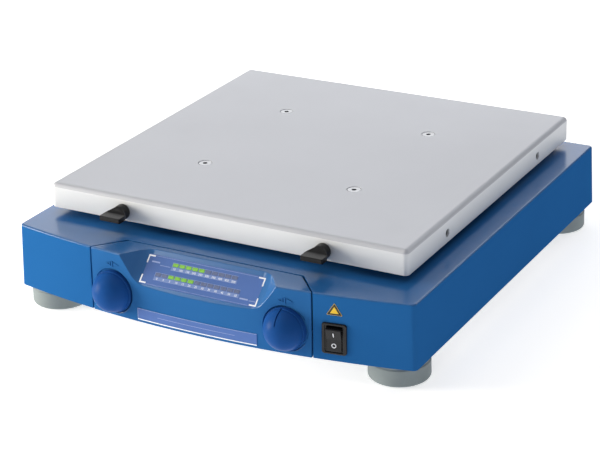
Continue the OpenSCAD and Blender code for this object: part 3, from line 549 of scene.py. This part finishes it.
class BuildHousing(bpy.types.Operator):
    """Leaning shell with a bulging front, a cut-out for the panel and lipped shaft openings"""
    bl_idname = "shaker.build_housing"
    bl_label = "Housing"

    def execute(self, context):
        wall = size("wall")
        outline = front_arc(-HALF_WIDTH, HALF_WIDTH, 0, 60)
        outline += [(HALF_WIDTH, BACK_Y, 0), (-HALF_WIDTH, BACK_Y, 0)]
        bm, top = prism([Vector(p) + Vector((0, 0, BOTTOM_Z)) for p in outline], (0, 0, TOP_Z - BOTTOM_Z))
        lean_in(top)

        corners = [e for e in bm.edges if span(e, 2) > 20 and abs(e.verts[0].co.x) > HALF_WIDTH - 3]
        round_edges(bm, corners, CORNER_ROUND, 5)
        round_edges(bm, edges_where(bm, lambda at: abs(at.z - TOP_Z) < 0.01), size("soft_edge"), 4)
        round_edges(bm, edges_where(bm, lambda at: abs(at.z - BOTTOM_Z) < 0.01), 0.5, 2)
        bm = combine(bm, panel_plan(0.0))

        def at_shafts(low, high, inset=0.0):
            return (drum(MAIN_LIP - inset, low, high, (0, AXIS_Y, 0), 72),
                    *[drum(SMALL_LIP - inset, low, high, (x, y, 0), 64) for x, y in SHAFTS])

        bm = combine(bm, join(*at_shafts(TOP_Z - 1, LIP_TOP)), "UNION")
        outline = front_arc(-HALF_WIDTH + wall, HALF_WIDTH - wall, wall, 40)
        outline += [Vector((x, BACK_Y - wall, 0)) for x in (HALF_WIDTH - wall, wall - HALF_WIDTH)]
        inner, inner_top = prism([p + Vector((0, 0, BOTTOM_Z - 3)) for p in outline],
                                 (0, 0, TOP_Z - BOTTOM_Z - wall + 3))
        lean_in(inner_top, wall)
        bm = combine(bm, inner)
        inlet = Vector((INLET_X, BACK_Y, INLET_Z))
        out = Vector((0, 2, 0))
        holes = join(*at_shafts(TOP_Z - 9, LIP_TOP + 3, LIP_WALL),
                     place(block(-SWITCH_HOLE, SWITCH_HOLE), on_front(SWITCH_X, SWITCH_Z)),
                     block(inlet - INLET_HOLE - Vector((0, 8, 0)), inlet + INLET_HOLE + out))
        bm = combine(bm, holes)
        recess = block(inlet - INLET_FLANGE - Vector((0, 1.2, 0)), inlet + INLET_FLANGE + out)
        bm = tidy(combine(bm, recess), 0.002)
        soften_joint(bm, 0.0)
        piece("housing_skin", bm, "housing_paint", "base", ["housing_shell"], upper="housing_top")
        return {"FINISHED"}


def panel_corners(gap):
    """Right-hand corners of the panel's plan, from the front to the back."""
    return ((PANEL_HALF - gap, FRONT_Y - 10), (PANEL_HALF - gap, PANEL_SIDE_Y),
            (PANEL_BACK_HALF - gap * 0.8, PANEL_BACK_Y - gap))


def panel_plan(gap):
    """The panel's place in the housing, as a tall solid that is smaller by gap all round."""
    corners = panel_corners(gap)
    outline = [Vector((x, y, BOTTOM_Z - 5)) for x, y in corners]
    outline += [Vector((-x, y, BOTTOM_Z - 5)) for x, y in reversed(corners)]
    bm, _ = prism(outline, (0, 0, TOP_Z - BOTTOM_Z + 10))
    return bm


def soften_joint(bm, gap, width=0.35):
    """Rounds the skin's edges along the joint between housing and panel."""
    corners = [Vector(c) for c in panel_corners(gap)] + [Vector((0, PANEL_BACK_Y - gap))]

    def on_joint(v):
        at = Vector((abs(v.co.x), v.co.y))
        for start, end in zip(corners, corners[1:]):
            along = (end - start).normalized()
            aside = along.x * (at - start).y - along.y * (at - start).x
            if abs(aside) < 0.03 and start.y - 0.1 < at.y < end.y + 0.1:
                return True
        return False

    walls = {f for f in bm.faces if abs(f.normal.z) < 0.1 and all(on_joint(v) for v in f.verts)}
    edges = []
    for edge in bm.edges:
        inner = [f for f in edge.link_faces if f in walls]
        outer = [f for f in edge.link_faces if f not in walls and (f.normal.z > 0.3 or f.normal.y < -0.3)]
        if len(inner) == 1 and len(outer) == 1:
            edges.append(edge)
    round_edges(bm, edges, width, 2, clamp=False)


def soften_rims(bm, pick, width, angle=24.0):
    """Rounds the sharp edges that pick accepts."""
    round_edges(bm, [e for e in sharp_edges(bm, angle) if pick(e)], width, 2, clamp=False)


def arrow(corners, back=0.3, rise=-0.9):
    """A flat shape on the front face, from (x, z) corners."""
    return prism([Vector((x, back, z)) for x, z in corners], (0, rise, 0))[0]


class BuildPanel(bpy.types.Operator):
    """Control panel moulding with the sloped display recess, two knob wells and raised turn marks"""
    bl_idname = "shaker.build_panel"
    bl_label = "Control panel"

    def execute(self, context):
        gap = size("joint_gap")
        wall = size("wall") + 0.4
        outline = front_arc(-130, 130, 0, 44) + [(130, -140, 0), (-130, -140, 0)]
        bm, top = prism([Vector(p) + Vector((0, 0, BOTTOM_Z)) for p in outline], (0, 0, TOP_Z - BOTTOM_Z))
        lean_in(top, sides=False)
        rim = [e for e in edges_where(bm, lambda at: abs(at.z - TOP_Z) < 0.01) if e.calc_length() < 20]
        round_edges(bm, rim, size("soft_edge"), 4)
        bm = combine(bm, panel_plan(gap), "INTERSECT")
        hollow_arc = front_arc(2 - PANEL_HALF, PANEL_HALF - 2, wall, 36)
        hollow_back = [(PANEL_HALF - 2, PANEL_BACK_Y + 10, 0), (2 - PANEL_HALF, PANEL_BACK_Y + 10, 0)]
        outline = [Vector(p) + Vector((0, 0, BOTTOM_Z - 3)) for p in hollow_arc + hollow_back]
        hollow, hollow_top = prism(outline, (0, 0, TOP_Z - BOTTOM_Z - wall + 3))
        lean_in(hollow_top, wall, sides=False)
        hollow = combine(hollow, wedge(wall - 0.4))
        well = KNOB_RADIUS + size("well_gap")

        def at_wells(radius, low, high, steps):
            wells = [Matrix.Translation((side * KNOB_X, WELL_Y, KNOB_Z)) @ TO_FRONT for side in (-1, 1)]
            return join(*[place(drum(radius, low, high, steps=steps), at) for at in wells])

        hollow = combine(hollow, at_wells(well + 2.2, -2.4, 20, 72))
        bm = combine(bm, hollow)
        bm = combine(bm, wedge())
        bm = combine(bm, at_wells(4.6, -12, 20, 32))
        bm = tidy(combine(bm, at_wells(well, 0, 30, 96)), 0.02)

        def rim_of_recess(edge):
            mid = (edge.verts[0].co + edge.verts[1].co) / 2
            on_skin = mid.y < front_at(mid.x) + lean_at(mid.z) + 0.4 or mid.z > TOP_Z - 0.4
            inside = abs(mid.x) < PANEL_HALF - 3 and mid.y < PANEL_BACK_Y - 3
            return on_skin and inside and mid.z > BOTTOM_Z + 1

        soften_rims(bm, rim_of_recess, 0.55)
        soften_joint(bm, gap)
        piece("panel_moulding", tidy(bm, 0.004), "panel_paint", "base", ["control_panel"], upper="panel_top")
        for side, label in ((-1, "left"), (1, "right")):
            open_arrow = combine(arrow(((-6.6, 0), (-1.6, 1.9), (-1.6, -1.9))),
                                 arrow(((-4.9, 0), (-2.3, 0.95), (-2.3, -0.95)), 1, -4))
            bar = block((-0.6, -0.6, -2.4), (0.6, 0.3, 2.4))
            solid = arrow(((1.5, 1.9), (6.8, 0), (1.5, -1.9)))
            marks = place(join(open_arrow, bar, solid), on_front(side * KNOB_X, MARK_Z))
            round_edges(marks, marks.edges[:], 0.16, 2)
            piece("turn_mark_" + label, marks, "panel_paint", "base")
        return {"FINISHED"}


LAMP_PITCH = 6.1
LAMP_START = -42.5
PRINT_Z = 0.4
FIGURE_HEIGHT = 2.5
ROWS = {"upper": dict(down=10.1, first=2, count=10, lit=range(0, 5)),
        "lower": dict(down=20.9, first=0, count=13, lit=range(2, 6))}


def stroke(x0, y0, x1, y1, low=PRINT_Z, high=0.52):
    """A printed bar on the display, with y measured up the slope."""
    return block((x0, y0, low), (x1, y1, high))


def words(text, x, y):
    """Printed figures on the display, as a mesh in the display's own frame."""
    curve = bpy.data.curves.new("figures", "FONT")
    curve.body = text
    curve.size = FIGURE_HEIGHT
    curve.align_x = "CENTER"
    curve.resolution_u = 2
    curve.extrude = 0.05
    ob = bpy.data.objects.new("figures", curve)
    bpy.context.scene.collection.objects.link(ob)
    bpy.context.view_layer.update()
    bm = bmesh.new()
    bm.from_mesh(ob.evaluated_get(bpy.context.evaluated_depsgraph_get()).to_mesh())
    bpy.data.objects.remove(ob)
    bpy.data.curves.remove(curve)
    bmesh.ops.translate(bm, vec=(x, y, PRINT_Z), verts=bm.verts)
    return bm


class BuildDisplay(bpy.types.Operator):
    """Printed film on the slope, two rows of lamps, their figures and the corner marks"""
    bl_idname = "shaker.build_display"
    bl_label = "Display"

    def execute(self, context):
        film = block((-55.4, -30.8, 0), (55.4, -4.4, PRINT_Z), 1.2, 4, lambda e: span(e, 2) > 0.2)
        round_edges(film, edges_where(film, lambda at: at.z > PRINT_Z - 0.01), 0.12, 2)
        piece("display_sheet", place(film, DISPLAY), "display_film", "base", ["display_window"])
        lit, unlit, frames, figures, bands = [], [], [], [], []
        for name, row in ROWS.items():
            for i in range(row["count"]):
                x = LAMP_START + LAMP_PITCH * (i + row["first"] + 0.5)
                y = -row["down"]
                cell = block((x - 2.6, y - 1.5, 0.3), (x + 2.6, y + 1.5, 0.62), 0.25, 2)
                (lit if i in row["lit"] else unlit).append(cell)
                frames.append(stroke(x - 2.95, y - 1.9, x - 2.75, y + 1.7))
                value = 50 * (i + 1) if name == "upper" else 5 * max(i - 1, 0)
                figures.append(words(str(value), x, y - 4.3))
            left = LAMP_START + LAMP_PITCH * row["first"]
            right = left + LAMP_PITCH * row["count"]
            frames.append(stroke(left, -row["down"] + 1.7, right, -row["down"] + 1.9))
            frames.append(stroke(left, -row["down"] - 4.9, right, -row["down"] - 4.7))
            bands.append(stroke(left, -row["down"] - 4.7, right, -row["down"] - 1.9, high=0.43))
        piece("lamps_on", place(join(*lit), DISPLAY), "lamp_lit", "base", ["lamps_lit"])
        piece("lamps_off", place(join(*unlit), DISPLAY), "lamp_unlit", "base", ["lamps_unlit"])
        # The figures use the glowing white print, a painted glow.
        piece("display_figures", place(join(*figures), DISPLAY), "white_print_painted_glow", "base")
        lines = [stroke(*ends) for ends in (
            (-47, -5.6, 47, -5.3), (-47, -30.2, 47, -30.0), (-49.5, -11.2, -42.0, -10.0),
            (-41.0, -12.9, -31.5, -12.5), (38.0, -26.4, 45.5, -25.2), (46.5, -26.4, 52.5, -26.0))]
        piece("figure_bands", place(join(*bands), DISPLAY), "band_print", "base")
        rules = place(join(*frames, *lines), DISPLAY)
        piece("display_rules", rules, "pale_print", "base")
        marks = []
        for sx in (-1, 1):
            for y, way in ((-5.2, -1), (-30.0, 1)):
                x = sx * 54.2
                for across, down, high in ((6.2, 1.2, 0.56), (1.2, 7.2, 0.55)):
                    left, right = sorted((x, x - sx * across))
                    low, top = sorted((y, y + way * down))
                    marks.append(stroke(left, low, right, top, high=high))
        # The corner marks use the glowing white print, a painted glow.
        piece("corner_marks", place(join(*marks), DISPLAY), "white_print_painted_glow", "base")
        return {"FINISHED"}


def curved_strip(x0, x1, z0, z1, stand_off, steps=24):
    """A thin strip that follows the curved, leaning front between two heights."""
    arc = front_arc(x0, x1, -stand_off, steps)
    back = [Vector((p.x, front_at(p.x, 0.02), 0)) for p in reversed(arc)]
    bm, top = prism([p + Vector((0, lean_at(z0), z0)) for p in arc + back], (0, 0, z1 - z0))
    bmesh.ops.translate(bm, vec=(0, lean_at(z1) - lean_at(z0), 0), verts=top)
    return bm


class BuildLabels(bpy.types.Operator):
    """Label strip along the lower front and the plain triangular marker"""
    bl_idname = "shaker.build_labels"
    bl_label = "Labels"

    def execute(self, context):
        strip = curved_strip(-LABEL_HALF, LABEL_HALF, 19.6, 29.2, 0.35)
        piece("label_film", strip, "display_film", "base", ["label_strip"])
        bright = curved_strip(-LABEL_HALF, LABEL_HALF, 19.5, 20.3, 0.5)
        # The label's base line uses the glowing white print, a painted glow.
        piece("label_base_line", bright, "white_print_painted_glow", "base")
        fine = join(curved_strip(-LABEL_HALF, LABEL_HALF, 29.0, 29.3, 0.45),
                    curved_strip(-55.6, -55.2, 20, 29.2, 0.45, 2),
                    curved_strip(-36, 36, 24.6, 24.9, 0.45))
        piece("label_rules", fine, "pale_print", "base")
        for name, grow, depth, finish_name in (("triangle_edge", 1.0, -0.20, "sticker_yellow"),
                                               ("triangle_rim", 0.93, -0.28, "black_print"),
                                               ("triangle_face", 0.56, -0.36, "sticker_yellow")):
            corners = ((0, 5.3), (6.5, -4.7), (-6.5, -4.7))
            bm = arrow([(x * grow, (z + 1.4) * grow - 1.4) for x, z in corners], rise=depth - 0.3)
            round_edges(bm, [e for e in bm.edges if span(e, 1) > 0.2], 0.7 * grow, 4)
            replaced = ["marker_sticker"] if name == "triangle_face" else []
            bm = place(bm, on_front(SWITCH_X, MARKER_Z))
            piece(name, bm, finish_name, "base", replaced)
        return {"FINISHED"}


def knob_shape(rim):
    """Domed knob about Z, with its pointer groove towards +Y."""
    height = WELL_Y - KNOB_CLEAR - KNOB_APEX_Y - rim
    foot = KNOB_RADIUS - 0.8
    ball = (foot ** 2 + height ** 2) / (2 * height)
    ball_z = rim + height - ball
    start = math.degrees(math.asin((rim - 0.35 - ball_z) / ball))
    profile = [(0, 0), (KNOB_RADIUS - 0.4, 0)]
    profile += arc_profile((KNOB_RADIUS - 0.4, 0.4), 0.4, -90, 0, 3)
    profile += arc_profile((KNOB_RADIUS - 0.5, rim - 0.5), 0.5, 0, 90, 4)
    profile += [(KNOB_RADIUS - 0.75, rim - 0.02), (foot - 0.05, rim - 0.35)]
    profile += arc_profile((0, ball_z), ball, start, 90, 26)[1:-1] + [(0, rim + height)]
    bm = spun(profile, 96)
    groove = block((-0.55, 8.0, rim - 1.2), (0.55, KNOB_RADIUS + 3, rim + height + 2))
    core = bmesh.new()
    bmesh.ops.create_uvsphere(core, u_segments=64, v_segments=48, radius=ball - 1.0)
    bmesh.ops.translate(core, vec=(0, 0, ball_z), verts=core.verts)
    groove = combine(groove, core)
    bm = combine(bm, groove)
    bore = drum(SPINDLE_BORE, -1, 7.2, steps=32)
    return tidy(combine(bm, bore), 0.004)


class BuildKnobs(bpy.types.Operator):
    """Two domed rotary knobs, each with a pointer groove"""
    bl_idname = "shaker.build_knobs"
    bl_label = "Knobs"

    def execute(self, context):
        rim = size("knob_rim")
        for x, angle, body, node in ((KNOB_X, -5, "speed_dial", "speed_knob"),
                                     (-KNOB_X, -130, "timer_dial", "timer_knob")):
            stand = Matrix.Translation((x, WELL_Y - KNOB_CLEAR, KNOB_Z)) @ TO_FRONT
            bm = place(knob_shape(rim), stand @ Matrix.Rotation(math.radians(-angle), 4, "Z"))
            piece(node.replace("knob", "dome"), bm, "knob_plastic", body, [node], sharp=28)
        return {"FINISHED"}


class BuildSwitch(bpy.types.Operator):
    """Rocker switch with its bezel and its printed marks"""
    bl_idname = "shaker.build_switch"
    bl_label = "Switch"

    def execute(self, context):
        at = on_front(SWITCH_X, SWITCH_Z)

        def along(edge):
            return span(edge, 1) > 1

        bezel = block((-10.2, -1.65, -13), (10.2, -0.05, 13), 2.2, 5, along)
        round_edges(bezel, edges_where(bezel, lambda at: at.y < -1.6), 0.7, 3)
        bezel = combine(bezel, block((-8.3, -0.6, -11), (8.3, 18, 11)), "UNION")
        opening = block((-6.5, -4, -10.6), (6.5, 9, 10.6), 0.8, 3, along)
        bezel = combine(bezel, opening)
        ledge = block((-7.6, -4, -11.4), (7.6, -0.7, 11.4), 1.0, 3, along)
        bezel = tidy(combine(bezel, ledge), 0.004)
        soften_rims(bezel, lambda e: all(v.co.y < -0.6 for v in e.verts), 0.2)
        tabs = join(*[block((-2.4, 18, z - 0.4), (2.4, 24, z + 0.4), 0.1, 1) for z in (-7, 0, 7)])
        piece("switch_bezel", place(bezel, at), "black_plastic", "base", ["switch_frame"])
        piece("switch_tabs", place(tabs, at), "pin_brass", "base")
        tilt = at @ Matrix.Translation((0, 2.6, 0)) @ Matrix.Rotation(math.radians(8), 4, "X")
        outline = [(-5.4, -9.9), (-5.85, -9.2), (-4.3, -0.6), (-4.3, 0.6), (-5.85, 9.2), (-5.4, 9.9),
                   (-0.5, 9.6), (3.2, 2), (3.2, -2), (-0.5, -9.6)]
        rocker, _ = prism([Vector((-6.2, y, z)) for y, z in outline], (12.4, 0, 0))
        round_edges(rocker, edges_where(rocker, lambda at: at.y < -4), 0.45, 3)
        pins = place(drum(1.25, -7.0, 7.0, steps=24), TO_SIDE)
        rocker = combine(rocker, pins, "UNION")
        piece("rocker_cap", place(tidy(rocker, 0.003), tilt), "black_plastic", "rocker", ["power_rocker"])
        slope = math.atan2(5.85 - 4.3, 8.6)
        ring = combine(place(drum(1.9, -0.2, 0.2, steps=40), TO_FRONT),
                       place(drum(1.35, -1, 1, steps=40), TO_FRONT))
        ring = place(ring, Matrix.Translation((0, -4.98, -4.8)) @ Matrix.Rotation(-slope, 4, "X"))
        bar = place(block((-0.35, -0.2, -1.9), (0.35, 0.2, 1.9)),
                    Matrix.Translation((0, -4.98, 4.8)) @ Matrix.Rotation(slope, 4, "X"))
        # The rocker's marks use the glowing white print, a painted glow.
        piece("rocker_marks", place(join(ring, bar), tilt), "white_print_painted_glow", "rocker")
        return {"FINISHED"}


class BuildTray(bpy.types.Operator):
    """Folded metal tray with countersunk holes and holes for its side inserts"""
    bl_idname = "shaker.build_tray"
    bl_label = "Tray"

    def execute(self, context):
        radius, sheet = size("tray_round"), size("tray_sheet")

        def shell(low, high, r):
            bm = block(low, high, r, 7, lambda e: span(e, 2) > 5)
            round_edges(bm, edges_where(bm, lambda at: at.z > high[2] - 0.01), r, 7)
            return bm

        bm = shell(TRAY_LOW, TRAY_HIGH, radius)
        thick = Vector((sheet, sheet, 0))
        inner_low = TRAY_LOW + thick - Vector((0, 0, 2))
        inner_high = TRAY_HIGH - thick - Vector((0, 0, sheet))
        bm = combine(bm, shell(inner_low, inner_high, radius - sheet))
        cutters = [drum(4.3, TRAY_HIGH.z - sheet - 1, TRAY_HIGH.z + 0.05, centre, 48, 6.35)
                   for centre in TRAY_SCREWS]
        for turn in (0, 90, 180, 270):
            hole = 3.2 if turn == 0 else 3.5
            spin = Matrix.Rotation(math.radians(turn), 4, "Z")
            side = Matrix.Translation((TRAY_X, AXIS_Y, RIM_HOLE_Z)) @ spin
            for sx in (-1, 1):
                out = side @ Matrix.Translation((sx * RIM_HOLE_X, RIM_HOLE_Y, 0)) @ TO_FRONT
                cutters.append(place(drum(hole, -4, 3, steps=40), out))
        bm = tidy(combine(bm, join(*cutters)), 0.004)
        round_edges(bm, edges_where(bm, lambda at: at.z < TRAY_LOW.z + 0.01), 0.35, 2)
        # The upward faces get the darker top colour and the folded sides the lighter one: a painted
        # reflection on the sides.
        piece("tray_pan", bm, "tray_metal", "tray_carriage", ["tray"], sharp=40, upper="tray_top")
        heads = []
        top = TRAY_HIGH.z - 0.25
        for centre in TRAY_SCREWS:
            profile = [(0, top - 12), (2.95, top - 12), (2.95, top - 2.9), (5.6, top - 0.25)]
            profile += arc_profile((5.4, top - 0.3), 0.3, 0, 90, 3) + [(0, top)]
            screw = combine(spun(profile, 48), drum(2.25, top - 2.4, top + 1, steps=6))
            bmesh.ops.translate(screw, vec=centre, verts=screw.verts)
            heads.append(screw)
        piece("tray_screw_heads", tidy(join(*heads), 0.003), "screw_steel", "tray_carriage", ["tray_screws"])
        return {"FINISHED"}


class BuildWingKnobs(bpy.types.Operator):
    """Black wing knobs on the tray's front rim"""
    bl_idname = "shaker.build_wing_knobs"
    bl_label = "Wing knobs"

    def execute(self, context):
        for side, label in ((-1, "left"), (1, "right")):
            bm = bmesh.new()
            hub = bmesh.ops.create_circle(bm, cap_ends=True, radius=6.4, segments=48)["verts"]
            face = hub[0].link_faces[0]

            def pull(face, rise, sx=1.0, sy=1.0):
                far, verts = extrude(bm, face)
                bmesh.ops.translate(bm, vec=(0, 0, rise), verts=verts)
                bmesh.ops.scale(bm, vec=(sx, sy, 1), verts=verts)
                bmesh.ops.delete(bm, geom=[g for g in (face,) if g.is_valid], context="FACES_ONLY")
                return far, verts

            base, _ = pull(face, 0.4)
            base, _ = pull(base, 0.5, 1.04, 1.04)
            base, _ = pull(base, 3.6)
            base, _ = pull(base, 0.5, 0.97, 0.97)
            base, verts = pull(base, 2.2)
            for share in (0.35, 0.7, 1.0):
                base, verts = pull(base, 1.9)
                for v in verts:
                    wide = math.copysign(min(abs(v.co.x) * 3.2, 9.6), v.co.x) if abs(v.co.x) > 1e-4 else 0.0
                    flat = math.copysign(min(abs(v.co.y), 2.1), v.co.y) if abs(v.co.y) > 1e-4 else 0.0
                    v.co.x += (wide - v.co.x) * share
                    v.co.y += (flat - v.co.y) * share
            base, _ = pull(base, 3.6)
            base, _ = pull(base, 3.8)
            base, _ = pull(base, 0.5, 0.985, 0.92)
            base, _ = pull(base, 0.35, 0.97, 0.80)
            bmesh.ops.holes_fill(bm, edges=[e for e in bm.edges if e.is_boundary])
            bmesh.ops.recalc_face_normals(bm, faces=bm.faces)
            shape = combine(bm, drum(2.9, -6, 0.6, steps=32), "UNION")
            hole = (TRAY_X + side * RIM_HOLE_X, AXIS_Y + RIM_HOLE_Y, RIM_HOLE_Z)
            place(shape, Matrix.Translation(hole) @ TO_FRONT)
            piece("wing_grip_" + label, tidy(shape, 0.003), "wing_plastic", "wing_" + label,
                  ["wing_knob_" + label], sharp=38)
        return {"FINISHED"}


class BuildFeet(bpy.types.Operator):
    """Round rubber feet with a soft bottom edge"""
    bl_idname = "shaker.build_feet"
    bl_label = "Feet"

    def execute(self, context):
        for end in ("front", "rear"):
            for side in ("left", "right"):
                node = f"foot_{end}_{side}"
                low, high = box_mm(node)
                centre = (low + high) / 2
                radius = (high.x - low.x) / 2
                top = high.z
                profile = [(0, 8), (8, 8), (8, 0.9)] + arc_profile((8.9, 0.9), 0.9, 180, 270, 3)
                profile += arc_profile((radius - 2.4, 2.4), 2.4, -90, 0, 7)
                profile += [(radius - 0.15, top * 0.5)]
                profile += arc_profile((radius - 1.3, top - 3.4), 1.2, 0, 60, 4)
                profile += [(radius - 1.0, top - 1.9), (radius - 1.0, top), (0, top)]
                bm = spun(profile, 80)
                bm = tidy(combine(bm, drum(3.2, 6, top + 2, steps=32)), 0.003)
                bmesh.ops.translate(bm, vec=(centre.x, centre.y, 0), verts=bm.verts)
                piece(f"rubber_{end}_{side}", bm, "foot_rubber", "base", [node])
        return {"FINISHED"}


def refined(node, material, body, width=0.2, angle=35.0):
    """A merged copy of a CAD node with its sharp edges rounded."""
    bm = bmesh.new()
    bm.from_mesh(NODES[node].data)
    bmesh.ops.scale(bm, vec=(MM,) * 3, verts=bm.verts)
    bmesh.ops.remove_doubles(bm, verts=bm.verts, dist=0.002)
    bmesh.ops.dissolve_limit(bm, angle_limit=math.radians(0.6), verts=bm.verts, edges=bm.edges)
    round_edges(bm, sharp_edges(bm, angle), width, 2)
    return piece(node + "_finished", bm, material, body, [node])


class FinishHardware(bpy.types.Operator):
    """Rounds the edges of the visible hardware and gives every remaining CAD node its finish"""
    bl_idname = "shaker.finish_hardware"
    bl_label = "Hardware"

    def execute(self, context):
        slots = {part["node"]: part["material_slot"] for part in frame["record"]["subparts"]}
        members = frame["record"]["behaviour"]["bodies"]
        bodies = {node: body for body, nodes in members.items() for node in nodes}
        for node in ("inlet_body", "inlet_pins", "side_inserts", "splash_caps", "foot_screws",
                     "housing_screws", "bottom_plate", "lock_cam_left", "lock_cam_right"):
            refined(node, slots[node], bodies[node])
        for node, ob in NODES.items():
            ob.data.materials.clear()
            ob.data.materials.append(finish(slots[node]))
        return {"FINISHED"}


# name, place, size, power and colour of each light
LIGHTS = (("key", (-1.7, -0.9, 0.35), 0.9, 44, (1.0, 0.93, 0.80)),
          ("back", (-0.75, 1.9, 1.0), 2.0, 20, (1, 1, 1)),
          ("top", (0.1, 0.0, 2.2), 2.0, 9, (1, 1, 1)),
          ("right edge", (1.0, 1.8, 1.5), 0.6, 4, (1, 1, 1)),
          ("front edge", (-1.4, -0.9, 1.7), 0.6, 4, (1, 1, 1)))
LIT_POINT = Vector((0, 0, 0.06))
FLOOR_SIZE = 6.0
SURROUNDINGS = (0.97, 0.98, 1.0, 1)
SURROUNDINGS_STRENGTH = 0.2
CAMERA_AT = (0.74077, -1.33120, 0.68790)
CAMERA_RIGHT = (0.87625, 0.48113, -0.02637)
CAMERA_UP = (-0.16737, 0.35523, 0.91967)
CAMERA_LENS = 113.8


class BuildStudio(bpy.types.Operator):
    """Pale floor, soft lights, white surroundings and the camera"""
    bl_idname = "shaker.build_studio"
    bl_label = "Studio"

    def execute(self, context):
        scene = context.scene
        bm = bmesh.new()
        bmesh.ops.create_grid(bm, x_segments=1, y_segments=1, size=FLOOR_SIZE)
        data = bpy.data.meshes.new("studio_floor")
        bm.to_mesh(data)
        bm.free()
        floor = bpy.data.objects.new("studio_floor", data)
        floor.data.materials.append(finish("studio_floor"))
        scene.collection.objects.link(floor)
        world = bpy.data.worlds.new("studio")
        scene.world = world
        world.use_nodes = True
        background = world.node_tree.nodes["Background"]
        background.inputs["Color"].default_value = SURROUNDINGS
        background.inputs["Strength"].default_value = SURROUNDINGS_STRENGTH
        for name, at, size, power, colour in LIGHTS:
            light = bpy.data.lights.new(name, "AREA")
            light.size = size
            light.energy = power
            light.color = colour
            ob = bpy.data.objects.new(name, light)
            aim = (Vector(at) - LIT_POINT).to_track_quat("Z", "Y").to_matrix().to_4x4()
            ob.matrix_world = Matrix.Translation(at) @ aim
            scene.collection.objects.link(ob)
        camera = bpy.data.cameras.new("camera")
        camera.sensor_width = 36.0
        camera.lens = CAMERA_LENS
        camera.clip_end = 50.0
        ob = bpy.data.objects.new("camera", camera)
        right, up = Vector(CAMERA_RIGHT), Vector(CAMERA_UP)
        back = right.cross(up).normalized()
        up = back.cross(right)
        turn = Matrix((right, up, back)).transposed().to_4x4()
        ob.matrix_world = Matrix.Translation(CAMERA_AT) @ turn
        scene.collection.objects.link(ob)
        scene.camera = ob
        scene.view_settings.view_transform = "Standard"
        return {"FINISHED"}


class ShakerPanel(bpy.types.Panel):
    bl_idname = "VIEW3D_PT_shaker"
    bl_label = "Orbital Shaker"
    bl_space_type = "VIEW_3D"
    bl_region_type = "UI"
    bl_category = "Shaker"

    def draw(self, context):
        for step in STEPS:
            self.layout.operator(step.bl_idname)
        for group in (context.scene.shaker_sizes, context.scene.shaker_colours):
            for name in group.bl_rna.properties.keys():
                if name not in ("rna_type", "name"):
                    self.layout.prop(group, name)


STEPS = [BuildHousing, BuildPanel, BuildDisplay, BuildLabels, BuildKnobs, BuildSwitch, BuildTray,
         BuildWingKnobs, BuildFeet, FinishHardware, BuildStudio]
CLASSES = [ShakerSizes, ShakerColours, *STEPS, ShakerPanel]


def register():
    for cls in CLASSES:
        bpy.utils.register_class(cls)
    bpy.types.Scene.shaker_sizes = bpy.props.PointerProperty(type=ShakerSizes)
    bpy.types.Scene.shaker_colours = bpy.props.PointerProperty(type=ShakerColours)


def unregister():
    del bpy.types.Scene.shaker_colours
    del bpy.types.Scene.shaker_sizes
    for cls in reversed(CLASSES):
        bpy.utils.unregister_class(cls)


def main():
    register()
    for step in STEPS:
        group, name = step.bl_idname.split(".")
        getattr(getattr(bpy.ops, group), name)()


if __name__ == "__main__":
    main()
